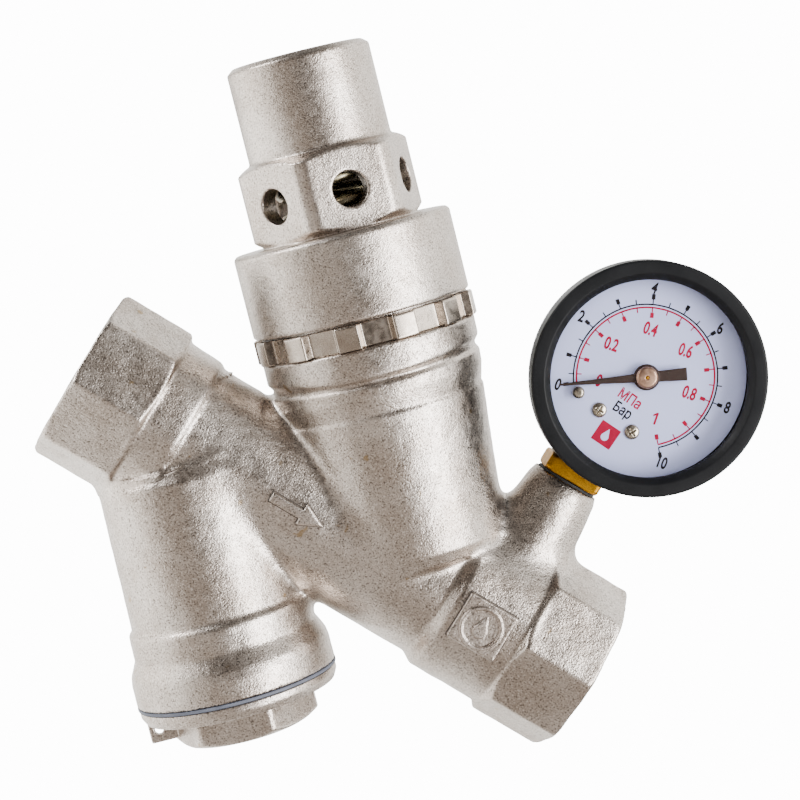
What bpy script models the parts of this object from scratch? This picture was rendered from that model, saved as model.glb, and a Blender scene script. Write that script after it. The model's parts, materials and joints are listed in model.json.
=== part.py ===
"""Pressure reducing valve with a built-in strainer and a dial gauge.

The origin is the midpoint between the two port faces, on the pipe's axis.
+X is the direction of flow, +Z points up the gauge stem, and the dial faces -Y.
The spring bonnet leans back over the inlet at 45 degrees, and the strainer leg leans
forward under the outlet at 45 degrees. Every size below is in millimetres.
"""
import math

import bmesh
import bpy
from mathutils import Matrix, Vector

MM = 0.001
GAP = 0.3                    # space kept between neighbouring pieces
ROUND_STEPS = 32             # facets around the large turned pieces
SMALL_STEPS = 16             # facets around the small turned pieces

# Pipe and ports (1 inch female pipe threads)
PORT_X = 67.4                # origin to each port face
PORT_FLATS = 38.5            # across the flats of the octagonal port ends
PORT_DEPTH = 18.2            # length of each octagon
THREAD_RADIUS = 15.15        # crests of the female thread
RIM_CHAMFER = 1.3
PIPE_RADIUS = 17.3
OUTLET_RADIUS = 19.0         # thicker stretch under the gauge boss
BORE_RADIUS = 12.0           # water way behind the threads

# Bonnet branch, with stations measured up its axis from the pipe's axis
BONNET_X = 25.5
BONNET_LEAN = math.radians(-45)
CHAMBER_FOOT = 5.3
COLLAR_TOP = 57.0
COLLAR_RADIUS = 24.8
NECK_TOP = 70.0
NECK_RADIUS = 21.8
CYLINDER_RADIUS = 17.5       # bore that the piston slides in
CYLINDER_FLOOR = 17.0
RING_TOP = 62.6
RING_RADIUS = 25.7
RING_RECESS = 23.4           # flat floors between the lugs
RING_LUGS = 12
RING_TURN = math.radians(-10.4)
SKIRT_FOOT = 62.9
SKIRT_TOP = 82.4
SKIRT_RADIUS = 25.25
HEX_TOP = 101.2
HEX_FLATS = 36.0
HEX_CORNER_RADIUS = 20.0     # the hexagon's corners are turned down to this
HEX_TURN = math.radians(-17)
VENT_RADIUS = 4.0
VENT_STATION = 91.4
CAP_TOP = 123.5
CAP_RADIUS = 16.5
SPRING_ROOM = 14.2
WEB_FOOT = 107.5
WEB_TOP = 114.0
SCREW_RADIUS = 5.8
SCREW_TOP = 115.2            # screwed right down; it backs off by 6 mm

# Valve mechanism on the bonnet branch
SEAT_BORE = 5.6
SEAT_LIP = 12.6              # station of the lip that the disc closes on
VALVE_ROOM = 8.8             # space below the seat
LIFT = 3.5                   # travel of the disc
SPRING_RADIUS = 11.0
SPRING_WIRE = 1.5
SPRING_TURNS = 6.5
SPRING_FOOT = 64.5
SPRING_HEAD = 95.7

# Strainer leg, with stations measured down its axis from the pipe's axis
LEG_X = -43.3
LEG_LEAN = math.radians(135)
LEG_FOOT = 8.8
LEG_END = 60.6
LEG_BORE = 16.8
LEG_THREAD = 18.5
SHOULDER = 14.0              # the basket seats against this
PLUG_FLATS = 30.0
PLUG_TURN = math.radians(-23)
FLANGE_END = 65.1
PLUG_END = 72.3

# Gauge, built around its own centre with its dial facing the local +Z
BOSS_X = 41.25
BOSS_TOP = 34.9
BOSS_RADIUS = 8.4
GAUGE_CENTRE = (42.95, 0.0, 65.6)
GAUGE_TILT = math.radians(3.1)
GAUGE_RADIUS = 26.65
GAUGE_FRONT = 17.0
CASE_RADIUS = 24.6
CASE_ROOM = 23.5             # inside radius of the case
CASE_BACK = -7.0
DIAL_FACE = 9.5
DIAL_OPENING = 22.2
POINTER_REST = math.radians(218.8)
STOP_PIN_ANGLE = math.radians(226.5)
PINION_TEETH = 10
SECTOR_TEETH = 100           # teeth that a full circle would have
GEAR_MODULE = 0.15
SECTOR_PIVOT = (0.0, -8.25)
PLATE_FRONT = 5.2
PLATE_BACK = -1.0
PLATE_THICKNESS = 0.8

# Finishes: base colour, roughness, metallic
NICKEL = ((0.56, 0.52, 0.47), 0.42, 1.0)
BRASS = ((0.78, 0.53, 0.18), 0.30, 1.0)
STEEL = ((0.60, 0.60, 0.62), 0.30, 1.0)
SPRING_STEEL = ((0.42, 0.43, 0.45), 0.35, 1.0)
RUBBER = ((0.02, 0.02, 0.02), 0.80, 0.0)
GREY_FIBRE = ((0.13, 0.14, 0.16), 0.75, 0.0)
BLACK_PAINT = ((0.03, 0.03, 0.035), 0.45, 0.0)
DIAL_WHITE = ((0.82, 0.82, 0.88), 0.50, 0.0)
BROWN_PAINT = ((0.10, 0.06, 0.05), 0.50, 0.0)
CLEAR = ((0.92, 0.95, 0.95), 0.05, 0.0)


def clear_scene():
    for item in list(bpy.data.objects):
        bpy.data.objects.remove(item, do_unlink=True)


def make_collection(name):
    collection = bpy.data.collections.new(name)
    bpy.context.scene.collection.children.link(collection)
    return collection


def make_frame(name, location, rotation):
    """An empty on a branch's axis; its +Z is that axis."""
    empty = bpy.data.objects.new(name, None)
    empty.empty_display_size = 10 * MM
    PARTS.objects.link(empty)
    empty.matrix_world = Matrix.Translation(Vector(location) * MM) @ rotation.to_4x4()
    return empty


def make_material(name, finish):
    colour, roughness, metallic = finish
    material = bpy.data.materials.new(name + "_material")
    material.use_nodes = True
    shader = material.node_tree.nodes["Principled BSDF"]
    shader.inputs["Base Color"].default_value = (*colour, 1.0)
    shader.inputs["Roughness"].default_value = roughness
    shader.inputs["Metallic"].default_value = metallic
    return material


def place(name, data, frame, finish=None):
    """Adds a piece, or a cutter when there is no finish, to a branch's frame."""
    item = bpy.data.objects.new(name, data)
    item.parent = frame
    if finish is None:
        CUTTERS.objects.link(item)
        item.hide_render = True
        item.display_type = "WIRE"
    else:
        PARTS.objects.link(item)
        data.materials.append(make_material(name, finish))
    return item


def turned(name, profile, frame, finish=None, steps=ROUND_STEPS):
    """A lathe shape from (radius, station) points that run down its outer side."""
    mesh = bpy.data.meshes.new(name)
    points = [(radius * MM, 0.0, station * MM) for radius, station in profile]
    edges = [(i, i + 1) for i in range(len(points) - 1)]
    if profile[0][0] > 0:
        edges.append((len(points) - 1, 0))
    mesh.from_pydata(points, edges, [])
    item = place(name, mesh, frame, finish)
    screw = item.modifiers.new("turn", "SCREW")
    screw.axis = "Z"
    screw.angle = 2 * math.pi
    screw.steps = steps
    screw.render_steps = steps
    screw.use_merge_vertices = True
    screw.merge_threshold = 0.000005
    return item


def disc(name, radius, foot, top, frame, finish=None, steps=SMALL_STEPS):
    """A plain cylinder between two stations."""
    profile = [(0, top), (radius, top), (radius, foot), (0, foot)]
    return turned(name, profile, frame, finish, steps)


def washer(name, outer, inner, foot, top, frame, finish=None, steps=SMALL_STEPS):
    """A plain ring between two stations."""
    profile = [(outer, top), (outer, foot), (inner, foot), (inner, top)]
    return turned(name, profile, frame, finish, steps)


def mesh_piece(name, shape, frame, finish=None):
    """Turns a bmesh into a piece and frees the bmesh."""
    bmesh.ops.recalc_face_normals(shape, faces=shape.faces)
    mesh = bpy.data.meshes.new(name)
    shape.to_mesh(mesh)
    shape.free()
    return place(name, mesh, frame, finish)


def prism(name, sides, flats, foot, top, frame, finish=None, turn=0.0):
    """A regular prism of the given width across flats between two stations."""
    shape = bmesh.new()
    corner = flats / 2 / math.cos(math.pi / sides) * MM
    bmesh.ops.create_cone(shape, cap_ends=True, segments=sides, radius1=corner,
                          radius2=corner, depth=(top - foot) * MM)
    bmesh.ops.rotate(shape, verts=shape.verts, matrix=Matrix.Rotation(turn, 3, "Z"))
    bmesh.ops.translate(shape, verts=shape.verts, vec=(0, 0, (top + foot) / 2 * MM))
    return mesh_piece(name, shape, frame, finish)


def block(name, low, high, frame, finish=None):
    """A box between two corners."""
    shape = bmesh.new()
    bmesh.ops.create_cube(shape, size=1.0)
    size = [(b - a) * MM for a, b in zip(low, high)]
    centre = [(a + b) / 2 * MM for a, b in zip(low, high)]
    bmesh.ops.scale(shape, verts=shape.verts, vec=size)
    bmesh.ops.translate(shape, verts=shape.verts, vec=centre)
    return mesh_piece(name, shape, frame, finish)


def rod(name, start, end, radius, frame, steps=16):
    """A cutter cylinder between two points of a branch's frame."""
    start, end = Vector(start) * MM, Vector(end) * MM
    along = end - start
    shape = bmesh.new()
    bmesh.ops.create_cone(shape, cap_ends=True, segments=steps, radius1=radius * MM,
                          radius2=radius * MM, depth=along.length)
    turn = along.to_track_quat("Z", "Y").to_matrix()
    bmesh.ops.rotate(shape, verts=shape.verts, matrix=turn)
    bmesh.ops.translate(shape, verts=shape.verts, vec=(start + end) / 2)
    return mesh_piece(name, shape, frame)


def curve_to_mesh(curve, name):
    """A welded mesh of a curve, so that it can be cut."""
    holder = bpy.data.objects.new(name, curve)
    PARTS.objects.link(holder)
    depsgraph = bpy.context.evaluated_depsgraph_get()
    mesh = bpy.data.meshes.new_from_object(holder.evaluated_get(depsgraph))
    bpy.data.objects.remove(holder)
    shape = bmesh.new()
    shape.from_mesh(mesh)
    bmesh.ops.remove_doubles(shape, verts=shape.verts, dist=0.000001)
    bmesh.ops.recalc_face_normals(shape, faces=shape.faces)
    shape.to_mesh(mesh)
    shape.free()
    mesh.name = name
    mesh.materials.clear()
    return mesh


def plate(name, outline, foot, top, frame, finish=None):
    """A flat piece cut to an outline, between two stations."""
    curve = bpy.data.curves.new(name, "CURVE")
    curve.dimensions = "2D"
    curve.fill_mode = "BOTH"
    curve.extrude = (top - foot) / 2 * MM
    spline = curve.splines.new("POLY")
    spline.points.add(len(outline) - 1)
    for point, (x, y) in zip(spline.points, outline):
        point.co = (x * MM, y * MM, 0.0, 1.0)
    spline.use_cyclic_u = True
    mesh = curve_to_mesh(curve, name)
    mesh.transform(Matrix.Translation((0, 0, (top + foot) / 2 * MM)))
    return place(name, mesh, frame, finish)


def wire(name, points, radius, frame, finish):
    """A round wire or tube through points of a branch's frame."""
    curve = bpy.data.curves.new(name, "CURVE")
    curve.dimensions = "3D"
    curve.bevel_depth = radius * MM
    curve.bevel_resolution = 2
    curve.use_fill_caps = True
    spline = curve.splines.new("POLY")
    spline.points.add(len(points) - 1)
    for point, position in zip(spline.points, points):
        point.co = (*(Vector(position) * MM), 1.0)
    return place(name, curve, frame, finish)


def combine(item, operation, *others):
    """One Boolean of a piece with a group of other solids."""
    group = bpy.data.collections.new(f"{item.name}_{operation.lower()}")
    for other in others:
        group.objects.link(other)
    modifier = item.modifiers.new(operation.lower(), "BOOLEAN")
    modifier.operation = operation
    modifier.operand_type = "COLLECTION"
    modifier.collection = group
    modifier.solver = "EXACT"


def add(item, *others):
    combine(item, "UNION", *others)


def cut(item, *others):
    combine(item, "DIFFERENCE", *others)


def keep_inside(item, other):
    combine(item, "INTERSECT", other)


def polar(radius, angle):
    return radius * math.cos(angle), radius * math.sin(angle)


def arc(centre, radius, start, end, steps):
    """Points along an arc, both ends included."""
    angles = [start + (end - start) * i / steps for i in range(steps + 1)]
    return [(centre[0] + radius * math.cos(a), centre[1] + radius * math.sin(a)) for a in angles]


# ---------------------------------------------------------------- valve body

def port_end(side):
    """The octagon at one port, with its rim and its inner edge turned down."""
    root = PORT_X - PORT_DEPTH
    low, high = sorted((side * root, side * PORT_X))
    name = "outlet" if side > 0 else "inlet"
    octagon = prism(name + "_octagon", 8, PORT_FLATS, low, high, PIPE)
    corner = PORT_FLATS / 2 / math.cos(math.pi / 8) + 0.3
    rim = corner - RIM_CHAMFER * 1.3
    profile = [(0, high), (rim, high), (corner, high - RIM_CHAMFER),
               (corner, low + RIM_CHAMFER), (rim, low), (0, low)]
    keep_inside(octagon, turned(name + "_rim", profile, PIPE, steps=24))
    return octagon


def port_bore(side):
    """The threaded hole at one port, widened at its mouth."""
    mouth = PORT_X + 1.0
    root = PORT_X - PORT_DEPTH
    wide = THREAD_RADIUS + RIM_CHAMFER + 1.0
    outer = [(wide, mouth), (THREAD_RADIUS, mouth - 1.0 - RIM_CHAMFER), (THREAD_RADIUS, root)]
    if side > 0:
        profile = [(0, mouth), *outer, (0, root)]
    else:
        profile = [(0, -root), *[(radius, -x) for radius, x in reversed(outer)], (0, -mouth)]
    name = "outlet_thread" if side > 0 else "inlet_thread"
    return turned(name, profile, PIPE, steps=24)


def flow_arrow():
    """The raised arrow that shows the direction of flow."""
    tail, tip, head = -16.4, -3.0, 5.4
    shaft, wing = 1.15, 2.6
    outline = [(tail, -shaft), (tip - head, -shaft), (tip - head, -wing), (tip, 0),
               (tip - head, wing), (tip - head, shaft), (tail, shaft)]
    return plate("flow_arrow", outline, 16.0, PIPE_RADIUS + 0.6, FRONT)


def body_outside():
    """Everything that is forged in one with the pipe."""
    pipe = turned("valve_body", [
        (0, 49.4), (OUTLET_RADIUS, 49.4), (OUTLET_RADIUS, 32.0), (PIPE_RADIUS, 29.5),
        (PIPE_RADIUS, -34.0), (17.9, -39.0), (18.9, -49.4), (0, -49.4)], PIPE, NICKEL)
    chamber = turned("chamber", [
        (0, NECK_TOP), (NECK_RADIUS, NECK_TOP), (NECK_RADIUS, COLLAR_TOP),
        (COLLAR_RADIUS, COLLAR_TOP), (COLLAR_RADIUS, 52.4), (23.7, 51.2), (23.7, 50.0),
        (24.3, 49.2), (24.1, 46.0), (22.9, 37.0), (21.8, 25.0), (20.4, 8.0),
        (18.6, CHAMBER_FOOT), (0, CHAMBER_FOOT)], BONNET)
    leg = turned("leg", [
        (0, LEG_END), (23.4, LEG_END), (23.0, 54.2), (21.4, 50.2), (21.3, 44.8),
        (20.3, 43.8), (19.7, 11.0), (18.4, LEG_FOOT), (0, LEG_FOOT)], LEG)
    boss = turned("boss", [
        (0, BOSS_TOP), (BOSS_RADIUS - 0.5, BOSS_TOP), (BOSS_RADIUS, BOSS_TOP - 0.5),
        (10.1, 20.5), (11.5, 8.0), (0, 8.0)], BOSS)
    pad = block("pad", (33.1, -20.0, -6.8), (45.3, -15.0, 4.6), WORLD)
    add(pipe, port_end(1), port_end(-1), chamber, leg, boss, pad, flow_arrow())
    return pipe


def inlet_side_cutters():
    """Water way from the inlet, through the strainer, to the space below the seat."""
    return [
        disc("inlet_bore", BORE_RADIUS + 0.5, -50.0, -36.0, PIPE),
        disc("basket_mouth", BORE_RADIUS + 0.5, -8.0, SHOULDER + 1.0, LEG),
        disc("leg_bore", LEG_BORE, SHOULDER, LEG_END + 1.0, LEG, steps=ROUND_STEPS),
        disc("leg_thread", LEG_THREAD, 47.0, LEG_END + 1.0, LEG, steps=ROUND_STEPS),
        rod("cross_way", (-22, 0, -4), (24, 0, -4), 9.0, WORLD),
        disc("valve_room", VALVE_ROOM, -4.0, 13.5, BONNET)]


def outlet_side_cutters():
    """Water way from the seat, around it and down to the outlet, and up to the gauge."""
    ways = []
    for i in range(5):
        angle = math.radians(25 * (i - 2))
        x, y = polar(14.6, angle)
        ways.append(rod(f"outlet_way_{i}", (x, y, -12), (x, y, 20), 3.4, BONNET, steps=8))
    return ways + [
        disc("seat_pocket", 10.3, 13.0, 18.0, BONNET),
        disc("piston_cylinder", CYLINDER_RADIUS, CYLINDER_FLOOR, NECK_TOP + 1, BONNET,
             steps=ROUND_STEPS),
        disc("outlet_bore", BORE_RADIUS, 40.0, 50.0, PIPE),
        turned("gauge_port", [(0, 36.0), (5.8, 36.0), (5.8, 20.0), (2.2, 18.0), (2.2, 5.0),
                              (0, 5.0)], BOSS, steps=SMALL_STEPS)]


def make_valve_body():
    body = body_outside()
    cut(body, port_bore(1), port_bore(-1), *inlet_side_cutters(), *outlet_side_cutters())


# ------------------------------------------------------------- bonnet branch

def make_lock_ring():
    """The castellated ring that locks the bonnet on the body's neck."""
    inner = NECK_RADIUS + GAP
    ring = washer("lock_ring", RING_RADIUS, inner, COLLAR_TOP + GAP, RING_TOP, BONNET,
                  NICKEL, steps=36)
    narrow, wide, far = 3.1, 5.4, RING_RECESS + 4.6
    outline = [(RING_RECESS, -narrow), (far, -wide), (far, wide), (RING_RECESS, narrow)]
    slots = []
    for i in range(RING_LUGS):
        slot = plate(f"ring_slot_{i}", outline, COLLAR_TOP - 1, RING_TOP + 1, BONNET)
        angle = RING_TURN + 2 * math.pi * (i + 0.5) / RING_LUGS
        slot.data.transform(Matrix.Rotation(angle, 4, "Z"))
        slots.append(slot)
    cut(ring, *slots)


def hexagon(name, flats, foot, top, corner_radius, frame, turn, chamfer=3.0):
    """A spanner hexagon with its corners turned down at both ends."""
    prism_piece = prism(name, 6, flats, foot, top, frame, turn=turn)
    face = flats / 2
    slope = math.tan(math.radians(30))
    drop = (corner_radius - face + 0.6) * slope
    profile = [(0, top), (face - 0.6, top), (corner_radius, top - drop),
               (corner_radius, foot + min(drop, chamfer)), (face - 0.6, foot), (0, foot)]
    keep_inside(prism_piece, turned(name + "_turned", profile, frame))
    return prism_piece


def make_bonnet():
    """The spring housing: cap, vented hexagon and skirt in one piece."""
    bonnet = turned("bonnet", [
        (0, CAP_TOP), (CAP_RADIUS - 1.3, CAP_TOP), (CAP_RADIUS, CAP_TOP - 1.3),
        (CAP_RADIUS, SKIRT_TOP), (SKIRT_RADIUS - 0.9, SKIRT_TOP),
        (SKIRT_RADIUS, SKIRT_TOP - 0.9), (SKIRT_RADIUS, SKIRT_FOOT), (0, SKIRT_FOOT)],
        BONNET, NICKEL)
    add(bonnet, hexagon("bonnet_hexagon", HEX_FLATS, SKIRT_TOP - 0.5, HEX_TOP,
                        HEX_CORNER_RADIUS, BONNET, HEX_TURN))
    inner = NECK_RADIUS + GAP
    room = turned("bonnet_room", [
        (0, CAP_TOP + 1), (10.0, CAP_TOP + 1), (10.0, WEB_TOP), (SCREW_RADIUS + 0.35, WEB_TOP),
        (SCREW_RADIUS + 0.35, WEB_FOOT), (SPRING_ROOM, WEB_FOOT), (SPRING_ROOM, 80.0),
        (19.0, 76.0), (inner, 74.0), (inner, SKIRT_FOOT - 1), (0, SKIRT_FOOT - 1)], BONNET)
    vents = []
    for i in range(3):
        x, y = polar(24.0, HEX_TURN + math.pi / 3 * i)
        vents.append(rod(f"vent_{i}", (x, y, VENT_STATION), (-x, -y, VENT_STATION),
                         VENT_RADIUS, BONNET, steps=SMALL_STEPS))
    cut(bonnet, room, *vents)


def make_seat():
    turned("seat_insert", [
        (10.0, 17.2), (10.0, 13.3), (7.0, 13.3), (6.4, SEAT_LIP), (SEAT_BORE, SEAT_LIP),
        (SEAT_BORE, 17.2)], BONNET, STEEL, steps=20)


def make_piston_group():
    """Piston, its seal, the spindle and the disc that it lifts against the seat."""
    disc_top = SEAT_LIP - 0.1 - LIFT
    turned("piston", [
        (17.2, 67.0), (17.2, 61.6), (15.0, 61.6), (15.0, 58.2), (17.2, 58.2), (17.2, 54.5),
        (3.1, 54.5), (3.1, 62.6), (14.4, 62.6), (14.4, 67.0)], BONNET, BRASS, steps=24)
    section = [polar(1.0, -2 * math.pi * i / 8) for i in range(8)]
    turned("piston_seal", [(16.15 + x, 59.9 + z) for x, z in section], BONNET, RUBBER, steps=24)
    turned("spindle", [
        (0, 67.5), (2.3, 67.5), (2.3, 62.9), (2.8, 62.9), (2.8, 54.2), (5.0, 54.2),
        (5.0, 51.5), (2.8, 50.8), (2.8, disc_top - 1.7), (2.0, disc_top - 1.7), (2.0, 0.9),
        (0, 0.9)], BONNET, BRASS, steps=SMALL_STEPS)
    nut = prism("piston_nut", 6, 8.0, 62.9, 66.2, BONNET, STEEL)
    cut(nut, disc("piston_nut_hole", 2.6, 62.0, 67.0, BONNET, steps=16))
    turned("disc_holder", [
        (7.2, disc_top - 0.6), (7.2, 4.2), (2.3, 4.2), (2.3, disc_top - 1.9),
        (6.7, disc_top - 1.9), (6.7, disc_top - 0.6)], BONNET, BRASS, steps=SMALL_STEPS)
    washer("disc_seal", 6.4, 3.1, disc_top - 1.6, disc_top, BONNET, RUBBER)
    nut = prism("disc_nut", 6, 7.0, 1.2, 3.9, BONNET, STEEL)
    cut(nut, disc("disc_nut_hole", 2.3, 0.5, 4.5, BONNET, steps=16))


def make_adjuster():
    """Regulating spring, the seat above it and the screw that sets it."""
    per_turn = 9
    count = int(SPRING_TURNS * per_turn)
    coil = []
    for i in range(count + 1):
        x, y = polar(SPRING_RADIUS, 2 * math.pi * i / per_turn)
        coil.append((x, y, SPRING_FOOT + (SPRING_HEAD - SPRING_FOOT) * i / count))
    wire("regulating_spring", coil, SPRING_WIRE, BONNET, SPRING_STEEL)
    seat_foot = SPRING_HEAD + SPRING_WIRE + GAP
    seat_top = seat_foot + 3.6
    turned("spring_seat", [
        (0, seat_top), (12.8, seat_top), (12.8, seat_foot), (8.8, seat_foot),
        (8.8, seat_foot - 4.0), (0, seat_foot - 4.0)], BONNET, STEEL, steps=20)
    screw_foot, screw_top = seat_top + GAP, SCREW_TOP
    screw = turned("adjusting_screw", [
        (0, screw_top), (SCREW_RADIUS - 0.7, screw_top), (SCREW_RADIUS, screw_top - 0.7),
        (SCREW_RADIUS, screw_foot + 1.2), (SCREW_RADIUS - 1.2, screw_foot), (0, screw_foot)],
        BONNET, STEEL, steps=20)
    cut(screw, prism("screw_socket", 6, 6.0, screw_top - 6.0, screw_top + 1.0, BONNET))


# -------------------------------------------------------------- strainer leg

def make_strainer():
    """The basket, its plug and the gasket between plug and leg."""
    basket = turned("strainer_basket", [
        (16.0, SHOULDER + GAP + 2.0), (16.0, SHOULDER + GAP), (12.8, SHOULDER + GAP),
        (12.8, 58.5), (13.6, 58.5), (13.6, SHOULDER + GAP + 2.0)][::-1], LEG, STEEL, steps=16)
    holes = []
    for row in range(3):
        for i in range(4):
            x, y = polar(20.0, 2 * math.pi * (i + 0.5 * (row % 2)) / 8)
            station = 24.0 + 11.0 * row
            holes.append(rod(f"basket_hole_{row}_{i}", (x, y, station), (-x, -y, station),
                             3.6, LEG, steps=6))
    cut(basket, *holes)
    washer("plug_gasket", 23.4, 18.8, LEG_END + 0.25, LEG_END + 1.05, LEG, GREY_FIBRE,
           steps=ROUND_STEPS)
    flange = LEG_END + 1.3
    plug = turned("strainer_plug", [
        (0, FLANGE_END), (22.3, FLANGE_END), (22.8, FLANGE_END - 0.6), (23.1, flange),
        (18.2, flange), (18.2, 48.5), (14.0, 48.5), (14.0, 59.0), (0, 59.0)], LEG, NICKEL)
    add(plug, hexagon("plug_hexagon", PLUG_FLATS, FLANGE_END - 0.5, PLUG_END, 17.2, LEG,
                      PLUG_TURN))
    ear = block("plug_ear", (17.0, -1.1, 63.5), (22.4, 1.1, 70.4), LEG)
    cut(ear, rod("ear_hole", (20.1, -3, 67.6), (20.1, 3, 67.6), 1.0, LEG, steps=12))
    add(plug, ear)


# --------------------------------------------------------------------- gauge

def make_gauge_stem():
    """Threaded brass stem with its spanner square and the socket inside the case."""
    washer("gauge_seal", BOSS_RADIUS - 0.2, 5.8, BOSS_TOP + 0.25, BOSS_TOP + 1.05, BOSS, RUBBER,
           steps=20)
    square_foot = BOSS_TOP + 1.3
    stem = turned("gauge_stem", [
        (0, 47.0), (4.4, 47.0), (4.4, square_foot), (5.4, square_foot), (5.4, 22.5), (0, 22.5)],
        BOSS, BRASS, steps=SMALL_STEPS)
    square = block("stem_square", (-6.9, -6.9, square_foot), (6.9, 6.9, 40.2), BOSS)
    socket = block("stem_socket", (-6.5, -21.6, -5.0), (6.5, -15.6, 5.0), GAUGE)
    add(stem, square, socket)
    cut(stem, rod("stem_bore", (0, 0, 20), (0, 0, 45), 1.5, BOSS, steps=12))


def make_gauge_case():
    front = GAUGE_FRONT
    case = turned("gauge_case", [
        (0, CASE_BACK + 1.2), (CASE_ROOM, CASE_BACK + 1.2), (CASE_ROOM, front - 2.3),
        (CASE_RADIUS, front - 2.3), (CASE_RADIUS, CASE_BACK + 1.5),
        (CASE_RADIUS - 1.5, CASE_BACK), (0, CASE_BACK)], GAUGE, BLACK_PAINT)
    cut(case, rod("stem_slot", (0, -20, 0), (0, -28, 0), 5.2, GAUGE, steps=20),
        rod("blow_out_hole", (0, 12, CASE_BACK - 2), (0, 12, CASE_BACK + 3), 3.2, GAUGE))
    turned("blow_out_plug", [
        (0, CASE_BACK + 1.6), (2.9, CASE_BACK + 1.6), (2.9, CASE_BACK - 0.25),
        (4.2, CASE_BACK - 0.25), (4.2, CASE_BACK - 0.9), (0, CASE_BACK - 0.9)],
        BLOW_OUT, RUBBER, steps=20)
    turned("gauge_ring", [
        (GAUGE_RADIUS - 0.6, front), (GAUGE_RADIUS, front - 0.6), (GAUGE_RADIUS, 9.0),
        (CASE_RADIUS + 0.25, 9.0), (CASE_RADIUS + 0.25, front - 2.0),
        (DIAL_OPENING, front - 2.0), (DIAL_OPENING, front - 0.9), (DIAL_OPENING + 0.9, front)],
        GAUGE, BLACK_PAINT)
    disc("gauge_window", CASE_ROOM - GAP, front - 4.0, front - 2.4, GAUGE, CLEAR,
         steps=ROUND_STEPS)


def make_dial():
    plate_piece = disc("dial_plate", CASE_ROOM - 0.5, DIAL_FACE - 0.6, DIAL_FACE, GAUGE,
                       DIAL_WHITE, steps=ROUND_STEPS)
    cut(plate_piece, disc("dial_hole", 1.4, 8.0, 10.5, GAUGE, steps=16))
    for i, x in enumerate((-4.5, 4.5)):
        frame = make_frame(f"dial_screw_axis_{i + 1}", (0, 0, 0), Matrix.Identity(3))
        frame.parent = GAUGE
        frame.location = (x * MM, -12.1 * MM, 0)
        cut(plate_piece, disc(f"dial_screw_hole_{i + 1}", 1.0, 8.0, 10.5, frame, steps=16))
        turned(f"dial_screw_{i + 1}", [
            (0, DIAL_FACE + 0.9), (1.3, DIAL_FACE + 0.8), (1.75, DIAL_FACE + 0.3),
            (0.7, DIAL_FACE + 0.3), (0.7, 7.6), (0, 7.6)], frame, STEEL, steps=20)
        washer(f"dial_post_{i + 1}", 1.6, 1.0, PLATE_FRONT + PLATE_THICKNESS + 0.25,
               DIAL_FACE - 0.85, frame, BRASS, steps=16)
    x, y = polar(15.8, STOP_PIN_ANGLE)
    frame = make_frame("stop_pin_axis", (0, 0, 0), Matrix.Identity(3))
    frame.parent = GAUGE
    frame.location = (x * MM, y * MM, 0)
    disc("stop_pin", 1.4, DIAL_FACE + 0.25, 12.2, frame, STEEL, steps=16)


def make_pointer():
    """Pointer, its hub and the pinion arbor; they turn together."""
    tip, tail = 19.9, 9.2
    root, tail_end = 1.05, 1.5
    hub = 3.0
    join = math.asin(root / hub)
    outline = [(tip, -0.25), (tip, 0.25), *arc((0, 0), hub, join, math.pi - join, 12),
               (-tail, tail_end), (-tail, -tail_end),
               *arc((0, 0), hub, math.pi + join, 2 * math.pi - join, 12)]
    turn = Matrix.Rotation(POINTER_REST, 4, "Z")
    pointer = plate("pointer", outline, 11.0, 11.4, GAUGE, BROWN_PAINT)
    pointer.data.transform(turn)
    cut(pointer, disc("pointer_hole", 0.9, 10.0, 12.0, GAUGE, steps=16))
    turned("pointer_cap", [
        (0, 12.6), (1.95, 12.6), (2.5, 12.2), (2.5, 11.65), (0, 11.65)], GAUGE, BRASS, steps=24)
    pitch_radius = GEAR_MODULE * PINION_TEETH / 2
    arbor = disc("pointer_arbor", 0.45, -0.9, 11.3, GAUGE, STEEL, steps=12)
    teeth = plate("pinion_teeth", gear_outline(pitch_radius, PINION_TEETH, 0,
                                               PINION_TEETH, 0.0), 1.6, 3.4, GAUGE)
    add(arbor, teeth)


def gear_outline(pitch_radius, teeth_round, first, last, phase):
    """Tooth points of a gear, from one tooth's number to another's."""
    points = []
    step = 2 * math.pi / teeth_round
    top, root = pitch_radius + 0.7 * GEAR_MODULE, pitch_radius - 1.1 * GEAR_MODULE
    for i in range(first, last):
        middle = phase + step * i
        points += [polar(root, middle - 0.30 * step), polar(top, middle - 0.10 * step),
                   polar(top, middle + 0.10 * step), polar(root, middle + 0.30 * step)]
    return points


def make_sector():
    """The toothed sector that drives the pinion, and the link that pulls it."""
    pitch_radius = GEAR_MODULE * SECTOR_TEETH / 2
    teeth = gear_outline(pitch_radius, SECTOR_TEETH, -9, 2, math.pi / 2)
    swing = math.radians(13.2)
    tail = 1.5 * math.pi - swing
    tail_x, tail_y = polar(4.0, tail)
    outline = [*teeth, *arc((0, 0), 1.5, math.radians(110), tail - 0.5, 6),
               *arc((tail_x, tail_y), 0.9, tail - math.pi / 2, tail + math.pi / 2, 6),
               *arc((0, 0), 1.5, tail + 0.5, math.radians(405), 6)]
    sector = plate("sector_gear", outline, 2.0, 3.0, SECTOR, BRASS)
    add(sector, disc("sector_arbor", 0.5, -0.9, 5.9, SECTOR, steps=12))
    reach = 12.6
    frame = make_frame("link_axis", (0, 0, 0), Matrix.Identity(3))
    frame.parent = GAUGE
    frame.location = ((SECTOR_PIVOT[0] + tail_x) * MM, (SECTOR_PIVOT[1] + tail_y) * MM, 0)
    outline = [*arc((0, 0), 0.8, math.radians(30), math.radians(330), 10),
               *arc((reach, 0), 0.8, math.radians(-150), math.radians(150), 10)]
    plate("pull_link", outline, 3.4, 3.9, frame, BRASS)


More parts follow.
